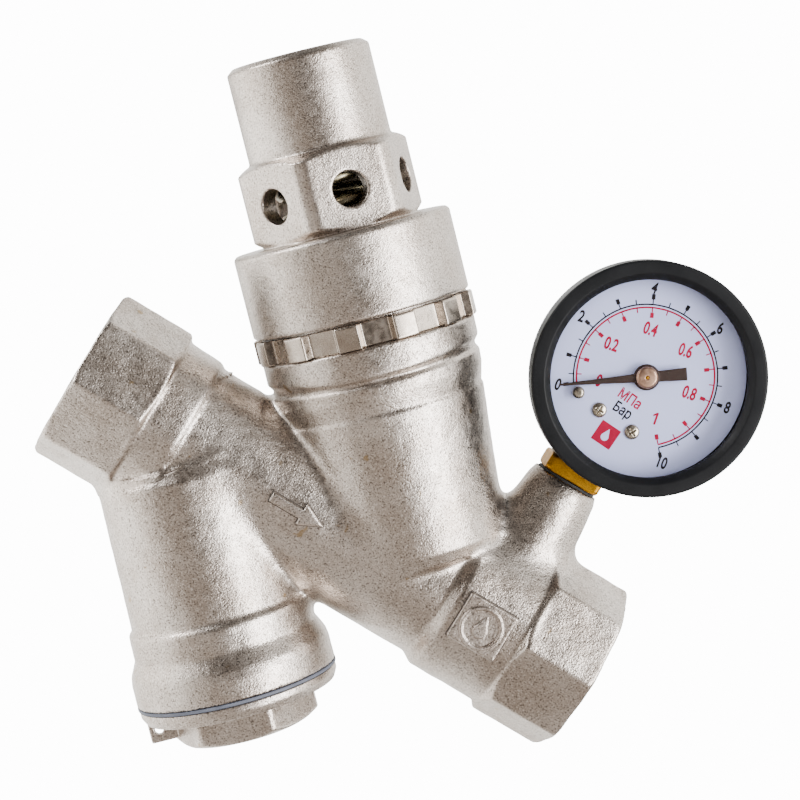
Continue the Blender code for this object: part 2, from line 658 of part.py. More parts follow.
def make_movement():
    """Plates and pillars that carry the sector and the pinion."""
    for name, foot, low in (("movement_front_plate", PLATE_FRONT, -14.4),
                            ("movement_back_plate", PLATE_BACK, -15.2)):
        piece = block(name, (-6.8, low, foot), (6.8, 4.4, foot + PLATE_THICKNESS), GAUGE, BRASS)
        for centre in ((0.0, 0.0), SECTOR_PIVOT):
            cut(piece, rod(f"{name}_hole_{centre[1]:.0f}", (*centre, foot - 2),
                           (*centre, foot + 3), 0.8, GAUGE, steps=12))
    for i, (x, y) in enumerate(((-5.5, 2.6), (5.5, 2.6), (-5.2, -9.4), (5.2, -9.4))):
        frame = make_frame(f"pillar_axis_{i + 1}", (0, 0, 0), Matrix.Identity(3))
        frame.parent = GAUGE
        frame.location = (x * MM, y * MM, 0)
        disc(f"movement_pillar_{i + 1}", 1.0, PLATE_BACK + PLATE_THICKNESS + 0.2,
             PLATE_FRONT - 0.2, frame, BRASS, steps=12)


def make_tube_and_hairspring():
    """Bourdon tube around the movement, and the hairspring on the pinion arbor."""
    start, end = math.radians(-115), math.radians(-402)
    points = [(*polar(17.5, start + (end - start) * i / 20), 1.2) for i in range(21)]
    wire("bourdon_tube", points, 1.8, GAUGE, BRASS)
    turns, per_turn = 3, 8
    count = turns * per_turn
    points = [(*polar(1.3 + 2.6 * i / count, 2 * math.pi * i / per_turn), 0.7)
              for i in range(count + 1)]
    wire("hairspring", points, 0.12, GAUGE, SPRING_STEEL)


clear_scene()
PARTS = make_collection("pressure_reducing_valve")
CUTTERS = make_collection("cutters")
WORLD = make_frame("world_axis", (0, 0, 0), Matrix.Identity(3))
PIPE = make_frame("pipe_axis", (0, 0, 0), Matrix.Rotation(math.pi / 2, 3, "Y"))
FRONT = make_frame("front_axis", (0, 0, 0), Matrix.Rotation(math.pi / 2, 3, "X"))
BONNET = make_frame("bonnet_axis", (BONNET_X, 0, 0), Matrix.Rotation(BONNET_LEAN, 3, "Y"))
LEG = make_frame("leg_axis", (LEG_X, 0, 0), Matrix.Rotation(LEG_LEAN, 3, "Y"))
BOSS = make_frame("boss_axis", (BOSS_X, 0, 0), Matrix.Identity(3))
GAUGE = make_frame("gauge_axis", GAUGE_CENTRE,
                   Matrix.Rotation(GAUGE_TILT, 3, "Y") @ Matrix.Rotation(math.pi / 2, 3, "X"))
SECTOR = make_frame("sector_axis", (0, 0, 0), Matrix.Identity(3))
SECTOR.parent = GAUGE
SECTOR.location = (SECTOR_PIVOT[0] * MM, SECTOR_PIVOT[1] * MM, 0)
BLOW_OUT = make_frame("blow_out_axis", (0, 0, 0), Matrix.Identity(3))
BLOW_OUT.parent = GAUGE
BLOW_OUT.location = (0, 12 * MM, 0)

make_valve_body()
make_lock_ring()
make_bonnet()
make_seat()
make_piston_group()
make_adjuster()
make_strainer()
make_gauge_stem()
make_gauge_case()
make_dial()
make_pointer()
make_sector()
make_movement()
make_tube_and_hairspring()
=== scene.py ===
"""Looks of the pressure reducing valve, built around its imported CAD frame.

Lengths are in millimetres until a mesh is made. +X is the direction of flow, +Z points up the
gauge stem, and the dial faces -Y.
"""

import json
import math

import bmesh
import bpy
import numpy as np
from mathutils import Matrix, Vector

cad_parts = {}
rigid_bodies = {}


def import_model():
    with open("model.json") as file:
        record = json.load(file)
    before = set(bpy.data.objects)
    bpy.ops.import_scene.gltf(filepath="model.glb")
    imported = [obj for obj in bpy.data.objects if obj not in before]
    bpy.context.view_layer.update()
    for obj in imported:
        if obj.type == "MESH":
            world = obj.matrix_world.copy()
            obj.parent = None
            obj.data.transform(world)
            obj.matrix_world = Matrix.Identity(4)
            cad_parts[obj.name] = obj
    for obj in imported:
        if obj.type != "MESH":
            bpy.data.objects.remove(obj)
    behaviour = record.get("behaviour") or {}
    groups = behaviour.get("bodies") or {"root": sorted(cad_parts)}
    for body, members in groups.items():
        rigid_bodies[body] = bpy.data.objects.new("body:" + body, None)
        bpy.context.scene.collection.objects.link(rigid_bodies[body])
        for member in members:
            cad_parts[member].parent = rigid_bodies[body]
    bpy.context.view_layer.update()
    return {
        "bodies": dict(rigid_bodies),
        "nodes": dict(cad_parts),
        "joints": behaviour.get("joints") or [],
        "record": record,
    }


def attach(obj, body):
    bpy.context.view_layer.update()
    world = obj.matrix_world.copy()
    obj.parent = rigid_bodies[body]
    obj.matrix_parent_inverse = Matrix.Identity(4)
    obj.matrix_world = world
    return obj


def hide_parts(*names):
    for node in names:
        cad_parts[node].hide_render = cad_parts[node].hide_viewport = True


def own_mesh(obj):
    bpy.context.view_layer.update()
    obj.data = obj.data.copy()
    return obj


MM = 0.001

# Main sizes
PORT_X = 67.4
PORT_FLATS = 38.5
PORT_DEPTH = 18.2
PIPE_RADIUS = 17.3
OUTLET_RADIUS = 19.0
THREAD_CREST = 15.15
THREAD_ROOT = 16.6
THREAD_PITCH = 2.309
RING_RADIUS = 25.7
RING_RECESS = 23.4
RING_LUGS = 12
RING_TURN = math.radians(-10.4)
NECK_RADIUS = 21.8
HEX_FLATS = 36.0
HEX_CORNER = 20.0
HEX_TURN = math.radians(-17)
SKIRT_TOP = 82.4
CAP_TOP = 123.5
VENT_STATION = 91.4
SPRING_FOOT = 64.5
SPRING_HEAD = 95.7
LEG_END = 60.6
PLUG_FLATS = 30.0
PLUG_TURN = math.radians(-23)
FLANGE_END = 65.1
BOSS_TOP = 34.9
PAD_LOW = (33.1, -19.9, -6.8)
PAD_HIGH = (45.3, -14.0, 4.6)
DIAL_FACE = 9.5
PRINT = 0.04
GAUGE_FRONT = 17.0
GAUGE_RADIUS = 26.65
CASE_RADIUS = 24.6
CASE_ROOM = 23.5
CASE_BACK = -7.0
DIAL_OPENING = 22.2
POINTER_REST = math.radians(218.8)
STOP_PIN = math.radians(226.5)

# Studio: the surroundings are FAR_LIGHT away from DIM_SIDE and NEAR_LIGHT towards it, and are
# darker again around DARK_PATCH. The backdrop is only what the camera sees behind the valve.
BACKDROP = 14.0
FAR_LIGHT = (2.5, 2.5, 2.42)
SIDE_LIGHT = (0.62, 0.585, 0.54)
NEAR_LIGHT = (0.135, 0.118, 0.104)
DIM_SIDE = (-0.40, -0.90, -0.18)
LIGHT_STOPS = ((0.36, FAR_LIGHT), (0.60, SIDE_LIGHT), (0.88, NEAR_LIGHT))
DARK_PATCH = (-0.70, 0.12, 0.70)
# Direction across the floor towards its pale side; on the opposite side the floor is painted with dim
# brown shade
BRIGHT_FLOOR = (-0.6, 0.8, 0.0)

# Branch frames: the local +Z is the branch's axis
TURN_Y = Matrix.Rotation(math.pi / 2, 4, "Y")
PIPE = TURN_Y
CROSS = Matrix.Translation((0, 0, -4.0)) @ TURN_Y
WORLD = Matrix.Identity(4)
BONNET = Matrix.Translation((25.5, 0, 0)) @ Matrix.Rotation(math.radians(-45), 4, "Y")
LEG = Matrix.Translation((-43.3, 0, 0)) @ Matrix.Rotation(math.radians(135), 4, "Y")
BOSS = Matrix.Translation((41.25, 0, 0))
GAUGE = (Matrix.Translation((42.95, 0, 65.6)) @ Matrix.Rotation(math.radians(3.1), 4, "Y")
         @ Matrix.Rotation(math.pi / 2, 4, "X"))


# Finishes

class Finish:
    """A node material built up one texture at a time."""

    def __init__(self, name):
        self.material = bpy.data.materials.new(name)
        self.material.use_nodes = True
        self.nodes = self.material.node_tree.nodes
        self.links = self.material.node_tree.links
        self.shader = self.nodes["Principled BSDF"]
        self.place = self.nodes.new("ShaderNodeTexCoord").outputs["Object"]

    def feed(self, target, value):
        if isinstance(value, bpy.types.NodeSocket):
            self.links.new(value, target)
        elif isinstance(value, tuple):
            target.default_value = (*value, 1.0)
        else:
            target.default_value = value

    def noise(self, size, detail=2.0, stretch=None):
        """Smooth noise whose blotches are about `size` millimetres across."""
        node = self.nodes.new("ShaderNodeTexNoise")
        node.inputs["Scale"].default_value = 1.0 / (size * MM)
        node.inputs["Detail"].default_value = detail
        place = self.place
        if stretch:
            mapping = self.nodes.new("ShaderNodeMapping")
            mapping.inputs["Scale"].default_value = stretch
            self.links.new(place, mapping.inputs["Vector"])
            place = mapping.outputs["Vector"]
        self.links.new(place, node.inputs["Vector"])
        return node.outputs["Fac"]

    def fit(self, source, low, high, to_low, to_high):
        node = self.nodes.new("ShaderNodeMapRange")
        for name, value in (("From Min", low), ("From Max", high),
                            ("To Min", to_low), ("To Max", to_high)):
            node.inputs[name].default_value = value
        self.links.new(source, node.inputs["Value"])
        return node.outputs["Result"]

    def mix(self, factor, first, second, blend="MIX"):
        node = self.nodes.new("ShaderNodeMix")
        node.data_type = "RGBA"
        node.blend_type = blend
        self.feed(node.inputs["Factor"], factor)
        self.feed(node.inputs["A"], first)
        self.feed(node.inputs["B"], second)
        return node.outputs["Result"]

    def bump(self, height, depth, normal=None):
        """Relief of `depth` millimetres."""
        node = self.nodes.new("ShaderNodeBump")
        node.inputs["Distance"].default_value = depth * MM
        self.links.new(height, node.inputs["Height"])
        if normal:
            self.links.new(normal, node.inputs["Normal"])
        return node.outputs["Normal"]

    def done(self, colour, roughness, normal=None, **uniform):
        self.feed(self.shader.inputs["Base Color"], colour)
        self.feed(self.shader.inputs["Roughness"], roughness)
        if normal:
            self.links.new(normal, self.shader.inputs["Normal"])
        for name, value in uniform.items():
            self.shader.inputs[name.replace("_", " ")].default_value = value
        return self.material


def blasted_nickel(name, light, dark, grain, relief, stain):
    """Nickel plating over a blasted or forged surface."""
    f = Finish(name)
    tone = f.mix(f.fit(f.noise(12, 3), 0.38, 0.62, 0, 1), light, dark)
    speck = f.noise(grain, 1.0)
    shade = f.mix(f.fit(speck, 0.30, 0.45, 0.85, 0.0), tone, tuple(c * 0.25 for c in dark))
    shine = f.mix(f.fit(speck, 0.56, 0.72, 0.0, 0.6), shade, (0.85, 0.79, 0.73))
    spots = f.fit(f.noise(5, 2), 0.71, 0.75, 0.0, stain)
    colour = f.mix(spots, shine, (0.30, 0.20, 0.09))
    rough = f.fit(f.noise(2.0, 3), 0.3, 0.7, 0.28, 0.40)
    normal = f.bump(f.noise(6, 3), relief * 2.5)
    normal = f.bump(f.noise(1.6, 2), relief * 1.2, normal)
    normal = f.bump(speck, relief * 1.3, normal)
    return f.done(colour, rough, normal, Metallic=1.0)


def turned_metal(name, colour, dark, rough, relief=0.006):
    """Machined metal: faint rings around the local axis and a little tarnish."""
    f = Finish(name)
    rings = f.noise(0.5, 2, stretch=(0.02, 0.02, 1.0))
    tone = f.mix(f.fit(f.noise(4, 3), 0.3, 0.7, 0, 1), colour, dark)
    tone = f.mix(f.fit(f.noise(0.35, 1), 0.35, 0.6, 0.35, 0.0), tone, tuple(c * 0.6 for c in dark))
    roughness = f.fit(f.noise(1.5, 2), 0.3, 0.7, rough - 0.06, rough + 0.08)
    normal = f.bump(rings, relief)
    normal = f.bump(f.noise(0.4, 1), relief * 1.5, normal)
    return f.done(tone, roughness, normal, Metallic=1.0)


def plain(name, light, dark, rough, size=3.0, grain=0.4, relief=0.01, **uniform):
    """Paint, rubber, fibre or print with soft blotches and a fine grain."""
    f = Finish(name)
    tone = f.mix(f.fit(f.noise(size, 3), 0.3, 0.7, 0, 1), light, dark)
    tone = f.mix(f.fit(f.noise(grain, 2), 0.62, 0.75, 0.0, 0.25), tone,
                 tuple(min(1.0, c * 1.6) for c in light))
    roughness = f.fit(f.noise(size * 0.6, 3), 0.3, 0.7, rough - 0.05, rough + 0.08)
    return f.done(tone, roughness, f.bump(f.noise(grain, 2), relief), **uniform)


def glass(name):
    """A thin clear pane: nearly see-through, with a trace of haze."""
    f = Finish(name)
    haze = f.fit(f.noise(6, 3), 0.3, 0.7, 0.02, 0.07)
    return f.done((0.02, 0.02, 0.02), haze, Alpha=0.05)


def floor_finish(name):
    """Floor that is pale on the left and the far side, with painted brown shade in front that the
    metal mirrors.
    """
    f = Finish(name)
    along = f.nodes.new("ShaderNodeVectorMath")
    along.operation = "DOT_PRODUCT"
    along.inputs[1].default_value = BRIGHT_FLOOR
    f.links.new(f.place, along.inputs[0])
    # painted shade: the floor turns dim brown in front of the valve, for the metal facing the camera
    # to mirror
    share = f.fit(along.outputs["Value"], -0.09, 0.05, 0.0, 1.0)
    tone = f.mix(f.fit(f.noise(60, 3), 0.3, 0.7, 0, 1), (0.86, 0.86, 0.84), (0.80, 0.80, 0.78))
    return f.done(f.mix(share, (0.215, 0.190, 0.170), tone), 0.9, Specular_IOR_Level=0.1)


def make_finishes():
    return {
        "forged": blasted_nickel("forged_finish", (0.57, 0.51, 0.46), (0.44, 0.375, 0.325),
                                 0.38, 0.062, 0.7),
        "blasted": blasted_nickel("blasted_finish", (0.57, 0.51, 0.46), (0.46, 0.395, 0.345),
                                  0.34, 0.048, 0.12),
        "nickel": turned_metal("machined_finish", (0.52, 0.46, 0.40), (0.36, 0.30, 0.25), 0.26),
        "brass": turned_metal("brass_finish", (0.54, 0.27, 0.014), (0.36, 0.17, 0.009), 0.42, 0.015),
        "rosy": turned_metal("pointer_cap_finish", (0.66, 0.42, 0.30), (0.58, 0.36, 0.25), 0.36),
        "screw": turned_metal("screw_finish", (0.66, 0.60, 0.50), (0.50, 0.43, 0.33), 0.25),
        "steel": turned_metal("steel_finish", (0.56, 0.56, 0.57), (0.42, 0.42, 0.43), 0.30),
        "spring": turned_metal("spring_finish", (0.40, 0.36, 0.24), (0.24, 0.21, 0.14), 0.30),
        "rubber": plain("rubber_finish", (0.018, 0.018, 0.019), (0.010, 0.010, 0.011), 0.65),
        "fibre": plain("fibre_finish", (0.105, 0.115, 0.15), (0.07, 0.078, 0.105), 0.62),
        "black": plain("black_paint_finish", (0.0060, 0.0064, 0.0075), (0.0040, 0.0043, 0.0050), 0.42,
                       size=9, grain=0.5, relief=0.010, Specular_IOR_Level=0.16),
        "dial": plain("dial_finish", (0.53, 0.575, 0.88), (0.50, 0.545, 0.85), 0.5, size=16,
                      relief=0.001, Specular_IOR_Level=0.2),
        "print_black": plain("black_print_finish", (0.010, 0.007, 0.009), (0.006, 0.005, 0.006), 0.6,
                             relief=0.002, Specular_IOR_Level=0.1),
        "print_red": plain("red_print_finish", (0.36, 0.0005, 0.034), (0.28, 0.0005, 0.026), 0.6,
                           relief=0.002, Specular_IOR_Level=0.1),
        "pointer": plain("pointer_finish", (0.030, 0.014, 0.010), (0.020, 0.010, 0.007), 0.5,
                         relief=0.004, Specular_IOR_Level=0.25),
        "glass": glass("window_finish"),
        # painted shade for the creases around the raised marks
        "shaded_crease": plain("painted_crease_shade_finish", (0.060, 0.048, 0.040), (0.035, 0.028, 0.023), 0.6),
        "floor": floor_finish("floor_finish"),
    }


# Solids from distance fields

def local(p, frame):
    """Coordinates of the points p in a branch's frame."""
    inverse = frame.inverted()
    return [sum(inverse[i][j] * p[j] for j in range(3)) + inverse[i][3] for i in range(3)]


def join(a, b, fillet):
    """Smooth union of two distances."""
    h = np.maximum(fillet - np.abs(a - b), 0.0) / fillet
    return np.minimum(a, b) - h * h * fillet * 0.25


def overlap(a, b, edge):
    """Smooth intersection of two distances."""
    return -join(-a, -b, edge)


def turned_field(frame, profile, rounding=0.5, edge=0.5, droop=None):
    """Distance to a lathe shape from (radius, station) points in rising order of station.

    `droop` is (station, reach, depth): around that station the outline hangs lower by `depth`
    on the two sides that face along local Y, as a forging die leaves it.
    """
    step = 0.1
    radii, stations = zip(*profile)
    t = np.arange(stations[0] - 3, stations[-1] + 3, step)
    window = np.hanning(2 * int(rounding / step) + 3)
    pad = len(window)
    r = np.pad(np.interp(t, stations, radii), pad, "edge")
    r = np.convolve(r, window / window.sum(), "same")[pad:-pad]
    steep = 1 / np.sqrt(1 + np.gradient(r, step) ** 2)
    middle, half = (stations[0] + stations[-1]) / 2, (stations[-1] - stations[0]) / 2

    def distance(p):
        x, y, z = local(p, frame)
        side = np.sqrt(x * x + y * y)
        level = z
        if droop:
            centre, reach, depth = droop
            share = y * y / np.maximum(side * side, 1.0)
            level = z + depth * share * np.exp(-((z - centre) / reach) ** 2)
        side = (side - np.interp(level, t, r)) * np.interp(level, t, steep)
        return overlap(side, np.abs(z - middle) - half, edge)
    return distance


def rod_field(frame, radius, foot, top, x=0.0, y=0.0, edge=0.4):
    return turned_field(frame @ Matrix.Translation((x, y, 0)), [(radius, foot), (radius, top)],
                        0.1, edge)


def prism_field(frame, sides, flats, turn, edge):
    """Distance to an endless prism whose first face points along the local angle `turn`."""
    normals = [(math.cos(turn + 2 * math.pi * i / sides), math.sin(turn + 2 * math.pi * i / sides))
               for i in range(sides)]

    def distance(p):
        x, y, _ = local(p, frame)
        total = None
        for cos, sin in normals:
            face = x * cos + y * sin - flats / 2
            total = face if total is None else overlap(total, face, edge)
        return total
    return distance


def box_field(frame, low, high, edge):
    def distance(p):
        total = None
        for value, a, b in zip(local(p, frame), low, high):
            face = np.abs(value - (a + b) / 2) - (b - a) / 2
            total = face if total is None else overlap(total, face, edge)
        return total
    return distance


def outline_field(outline, frame, foot, top, edge=0.3):
    """Distance to a flat plate with a convex or concave outline."""
    def distance(p):
        x, y, z = local(p, frame)
        nearest = np.full(x.shape, 1e9)
        inside = np.zeros(x.shape, bool)
        for (ax, ay), (bx, by) in zip(outline, outline[1:] + outline[:1]):
            ex, ey = bx - ax, by - ay
            share = np.clip(((x - ax) * ex + (y - ay) * ey) / (ex * ex + ey * ey), 0, 1)
            nearest = np.minimum(nearest, (x - ax - ex * share) ** 2 + (y - ay - ey * share) ** 2)
            crossed = (ay > y) != (by > y)
            if ey:
                inside ^= crossed & (x < ax + ex * (y - ay) / ey)
        flat = np.sqrt(nearest) * np.where(inside, -1, 1)
        return overlap(flat, np.abs(z - (foot + top) / 2) - (top - foot) / 2, edge)
    return distance


def sample(distance, low, high, cell):
    """Grid of distances, worked out in full only in the blocks that the surface passes."""
    block = 8
    low = np.array(low, float) - 2 * cell
    count = np.ceil((np.array(high, float) + 2 * cell - low) / (cell * block)).astype(int)
    corners = np.stack(np.meshgrid(*[np.arange(n) for n in count], indexing="ij"), -1)
    centres = low + (corners * block + (block - 1) / 2) * cell
    rough = distance([centres[..., i] for i in range(3)])
    reach = cell * (block * 0.87 + 1.5)
    near = np.abs(rough) < reach
    field = np.repeat(np.where(rough < 0, -reach, reach)[..., None], block ** 3, -1)
    inner = np.stack(np.meshgrid(*[np.arange(block)] * 3, indexing="ij"), -1).reshape(-1, 3)
    starts = corners[near]
    values = np.empty((len(starts), block ** 3))
    for i in range(0, len(starts), 600):
        points = low + (starts[i:i + 600, None] * block + inner) * cell
        values[i:i + 600] = distance([points[..., k] for k in range(3)])
    field[near] = values
    shape = count * block
    field = field.reshape(*count, block, block, block).transpose(0, 3, 1, 4, 2, 5).reshape(shape)
    return low, field


def net(low, field, cell):
    """Surface-net vertices and quads of a grid's zero level."""
    inside = field < 0
    corner = [(i, j, k) for i in (0, 1) for j in (0, 1) for k in (0, 1)]
    size = [n - 1 for n in field.shape]

    def shifted(array, c):
        return array[c[0]:c[0] + size[0], c[1]:c[1] + size[1], c[2]:c[2] + size[2]]

    total = sum(shifted(inside, c).astype(np.int8) for c in corner)
    cells = np.argwhere((total > 0) & (total < 8))
    number = np.full(size, -1, np.int64)
    number[tuple(cells.T)] = np.arange(len(cells))
    values = [field[tuple((cells + c).T)] for c in corner]
    where, hits = np.zeros((len(cells), 3)), np.zeros(len(cells))
    for a in range(8):
        for b in range(a + 1, 8):
            step = np.array(corner[b]) - np.array(corner[a])
            if np.abs(step).sum() != 1:
                continue
            change = (values[a] < 0) != (values[b] < 0)
            share = np.where(change, values[a] / np.where(change, values[a] - values[b], 1), 0)
            where += change[:, None] * (np.array(corner[a]) + share[:, None] * step)
            hits += change
    points = low + (cells + where / hits[:, None]) * cell
    quads = []
    for axis in range(3):
        u, v = (axis + 1) % 3, (axis + 2) % 3
        end = [slice(None)] * 3
        start = [slice(None)] * 3
        start[axis], end[axis] = slice(None, -1), slice(1, None)
        change = inside[tuple(start)] != inside[tuple(end)]
        at = np.argwhere(change)
        at = at[(at[:, u] > 0) & (at[:, v] > 0) & (at[:, u] < size[u]) & (at[:, v] < size[v])]
        du, dv = np.eye(3, dtype=int)[u], np.eye(3, dtype=int)[v]
        ring = np.stack([number[tuple((at - s).T)] for s in (du + dv, dv, 0 * du, du)], 1)
        outward = inside[tuple(at.T)]
        ring[~outward] = ring[~outward][:, ::-1]
        quads.append(ring)
    return points, np.concatenate(quads)


def settle(points, distance, cell):
    """Moves the vertices on to the exact surface."""
    small = cell * 0.05
    for _ in range(2):
        here = distance(list(points.T))
        slope = np.stack([(distance(list((points + small * axis).T)) - here) / small
                          for axis in np.eye(3)], 1)
        push = here[:, None] * slope / np.maximum((slope ** 2).sum(1), 0.2)[:, None]
        points = points - np.clip(push, -cell * 0.5, cell * 0.5)
    return points


def field_piece(name, distance, low, high, cell, frame, finish, body="housing", keep=1.0):
    """A closed piece that follows a distance field of the branch's own coordinates."""
    corner, field = sample(distance, low, high, cell)
    points, quads = net(corner, field, cell)
    points = settle(points, distance, cell)
    mesh = bpy.data.meshes.new(name)
    mesh.from_pydata(points * MM, [], quads)
    mesh.update()
    if keep < 1.0:
        mesh = thinned(mesh, keep)
    mesh.shade_smooth()
    return show(name, mesh, frame, finish, body)


def thinned(mesh, keep):
    """A copy of a mesh with fewer triangles where it is flat."""
    holder = bpy.data.objects.new(mesh.name, mesh)
    bpy.context.scene.collection.objects.link(holder)
    modifier = holder.modifiers.new("thin", "DECIMATE")
    modifier.ratio = keep
    depsgraph = bpy.context.evaluated_depsgraph_get()
    result = bpy.data.meshes.new_from_object(holder.evaluated_get(depsgraph))
    bpy.data.objects.remove(holder)
    return result


# Mesh pieces

def show(name, data, frame, finish, body="housing"):
    """Adds a piece to the scene, placed in its branch's frame and riding its body."""
    item = bpy.data.objects.new(name, data)
    bpy.context.scene.collection.objects.link(item)
    matrix = frame.copy()
    matrix.translation = matrix.translation * MM
    item.matrix_world = matrix
    data.materials.clear()
    data.materials.append(FINISHES[finish])
    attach(item, body)
    return item


def polar(radius, angle):
    return radius * math.cos(angle), radius * math.sin(angle)


def softened(profile, cut=0.3, closed=True):
    """Rounds each corner of a profile with a short curve."""
    result = []
    count = len(profile)
    for i, point in enumerate(profile):
        if not closed and i in (0, count - 1):
            result.append(point)
            continue
        here = Vector(point)
        before = Vector(profile[i - 1]) - here
        after = Vector(profile[(i + 1) % count]) - here
        a = here + before.normalized() * min(cut, before.length * 0.45)
        b = here + after.normalized() * min(cut, after.length * 0.45)
        for u in (0.0, 0.25, 0.5, 0.75, 1.0):
            result.append(tuple(a * (1 - u) ** 2 + here * 2 * u * (1 - u) + b * u * u))
    return result


def lathe(name, profile, frame, finish, body="housing", steps=96, cut=0.3):
    """A turned piece from (radius, station) points that run down its outer side."""
    solid = profile[0][0] <= 0
    points = softened(profile, cut, closed=not solid)
    shape = bmesh.new()
    rows = []
    for radius, station in points:
        if radius <= 1e-6:
            rows.append([shape.verts.new((0, 0, station * MM))])
        else:
            rows.append([shape.verts.new((*(Vector(polar(radius, 2 * math.pi * i / steps)) * MM),
                                          station * MM)) for i in range(steps)])
    pairs = list(zip(rows, rows[1:])) + ([] if solid else [(rows[-1], rows[0])])
    for upper, lower in pairs:
        for i in range(steps):
            j = (i + 1) % steps
            corners = [upper[i % len(upper)], lower[i % len(lower)],
                       lower[j % len(lower)], upper[j % len(upper)]]
            shape.faces.new(list(dict.fromkeys(corners)))
    return mesh_piece(name, shape, frame, finish, body)


def mesh_piece(name, shape, frame, finish, body="housing", angle=32):
    bmesh.ops.recalc_face_normals(shape, faces=shape.faces)
    mesh = bpy.data.meshes.new(name)
    shape.to_mesh(mesh)
    shape.free()
    mesh.shade_smooth()
    mesh.set_sharp_from_angle(angle=math.radians(angle))
    return show(name, mesh, frame, finish, body)


def prism_mesh(shape, outline, foot, top):
    """Adds a flat-topped solid to a bmesh."""
    lower, upper = [[shape.verts.new((x * MM, y * MM, z * MM)) for x, y in outline]
                    for z in (foot, top)]
    for i in range(len(outline)):
        j = (i + 1) % len(outline)
        shape.faces.new((lower[i], lower[j], upper[j], upper[i]))
    shape.faces.new(lower[::-1])
    shape.faces.new(upper)


def strip(shape, inner, outer, foot, top):
    """Adds a flat band between two rows of points to a bmesh."""
    rows = [[shape.verts.new((x * MM, y * MM, z * MM)) for x, y in line]
            for line, z in ((inner, top), (outer, top), (outer, foot), (inner, foot))]
    for a, b in zip(rows, rows[1:] + rows[:1]):
        for i in range(len(inner) - 1):
            shape.faces.new((a[i], a[i + 1], b[i + 1], b[i]))
    shape.faces.new([row[0] for row in rows])
    shape.faces.new([row[-1] for row in rows][::-1])


def swept(name, points, radius, frame, finish, body="housing", sides=14):
    """A round wire through points, as a closed tube."""
    shape = bmesh.new()
    rows = []
    for i, point in enumerate(points):
        along = (Vector(points[min(i + 1, len(points) - 1)]) - Vector(points[max(i - 1, 0)]))
        turn = along.to_track_quat("Z", "Y")
        rows.append([shape.verts.new((Vector(point) + turn @ Vector((
            *polar(radius, 2 * math.pi * k / sides), 0))) * MM) for k in range(sides)])
    for a, b in zip(rows, rows[1:]):
        for k in range(sides):
            shape.faces.new((a[k], a[(k + 1) % sides], b[(k + 1) % sides], b[k]))
    shape.faces.new(rows[0])
    shape.faces.new(rows[-1][::-1])
    return mesh_piece(name, shape, frame, finish, body, angle=60)


# Valve body

def waves(p):
    """Slight unevenness of a forging, up to about a tenth of a millimetre."""
    x, y, z = p
    return (0.040 * np.sin(0.31 * x + 0.52 * z + 0.4) * np.sin(0.43 * y - 0.22 * x + 1.1)
            + 0.030 * np.sin(0.71 * z - 0.38 * y + 2.0) * np.sin(0.66 * x + 0.29 * y)
            + 0.022 * np.sin(1.10 * x - 0.74 * z) * np.sin(0.95 * y + 0.81 * z + 0.7))


def port_field(side):
    """The octagon at a port, with its corners turned down at both ends."""
    corner = PORT_FLATS / 2 / math.cos(math.pi / 8)
    octagon = prism_field(PIPE, 8, PORT_FLATS, math.pi / 8, 0.4)
    root, face = side * (PORT_X - PORT_DEPTH), side * PORT_X
    low, high = min(root, face), max(root, face)
    rim = turned_field(PIPE, [(corner - 1.2, low), (corner + 0.2, low + 1.1),
                              (corner + 0.2, high - 0.9), (corner - 0.9, high)], 0.2, 0.35)
    return lambda p: overlap(octagon(p), rim(p), 0.35)


def drop_outline(size, x, y, steps=14):
    """A water drop with its point upwards."""
    points = [(x, y + size * 1.45)]
    for i in range(steps + 1):
        dx, dy = polar(size * 0.72, math.radians(28 - 236 * i / steps))
        points.append((x + dx, y + dy - size * 0.25))
    return points


def body_fields():
    pipe = turned_field(PIPE, [
        (18.9, -49.4), (18.5, -40.4), (17.6, -39.4), (17.4, -34.0), (PIPE_RADIUS, 29.0),
        (OUTLET_RADIUS, 31.6), (OUTLET_RADIUS, 49.6)], 0.9)
    chamber = turned_field(BONNET, [
        (18.6, 5.2), (20.4, 8.0), (21.8, 25.0), (22.9, 37.0), (23.3, 41.2), (23.0, 41.9),
        (24.1, 46.0), (24.3, 49.0), (23.6, 50.2), (23.7, 51.0), (24.8, 52.4), (24.8, 57.05),
        (NECK_RADIUS, 57.15), (NECK_RADIUS, 70.0)], 0.3, 0.8, droop=(50.8, 2.6, 1.8))
    leg = turned_field(LEG, [
        (18.2, 8.6), (19.7, 11.0), (20.3, 43.4), (21.3, 44.6), (21.4, 50.4), (23.1, 54.0),
        (23.4, 56.0), (23.4, LEG_END + 0.3)], 0.7, 0.25)
    boss = turned_field(BOSS, [(11.5, 8.0), (10.1, 20.5), (8.6, 33.6), (7.9, BOSS_TOP + 0.7)],
                        0.3, 0.25)
    return pipe, chamber, leg, boss


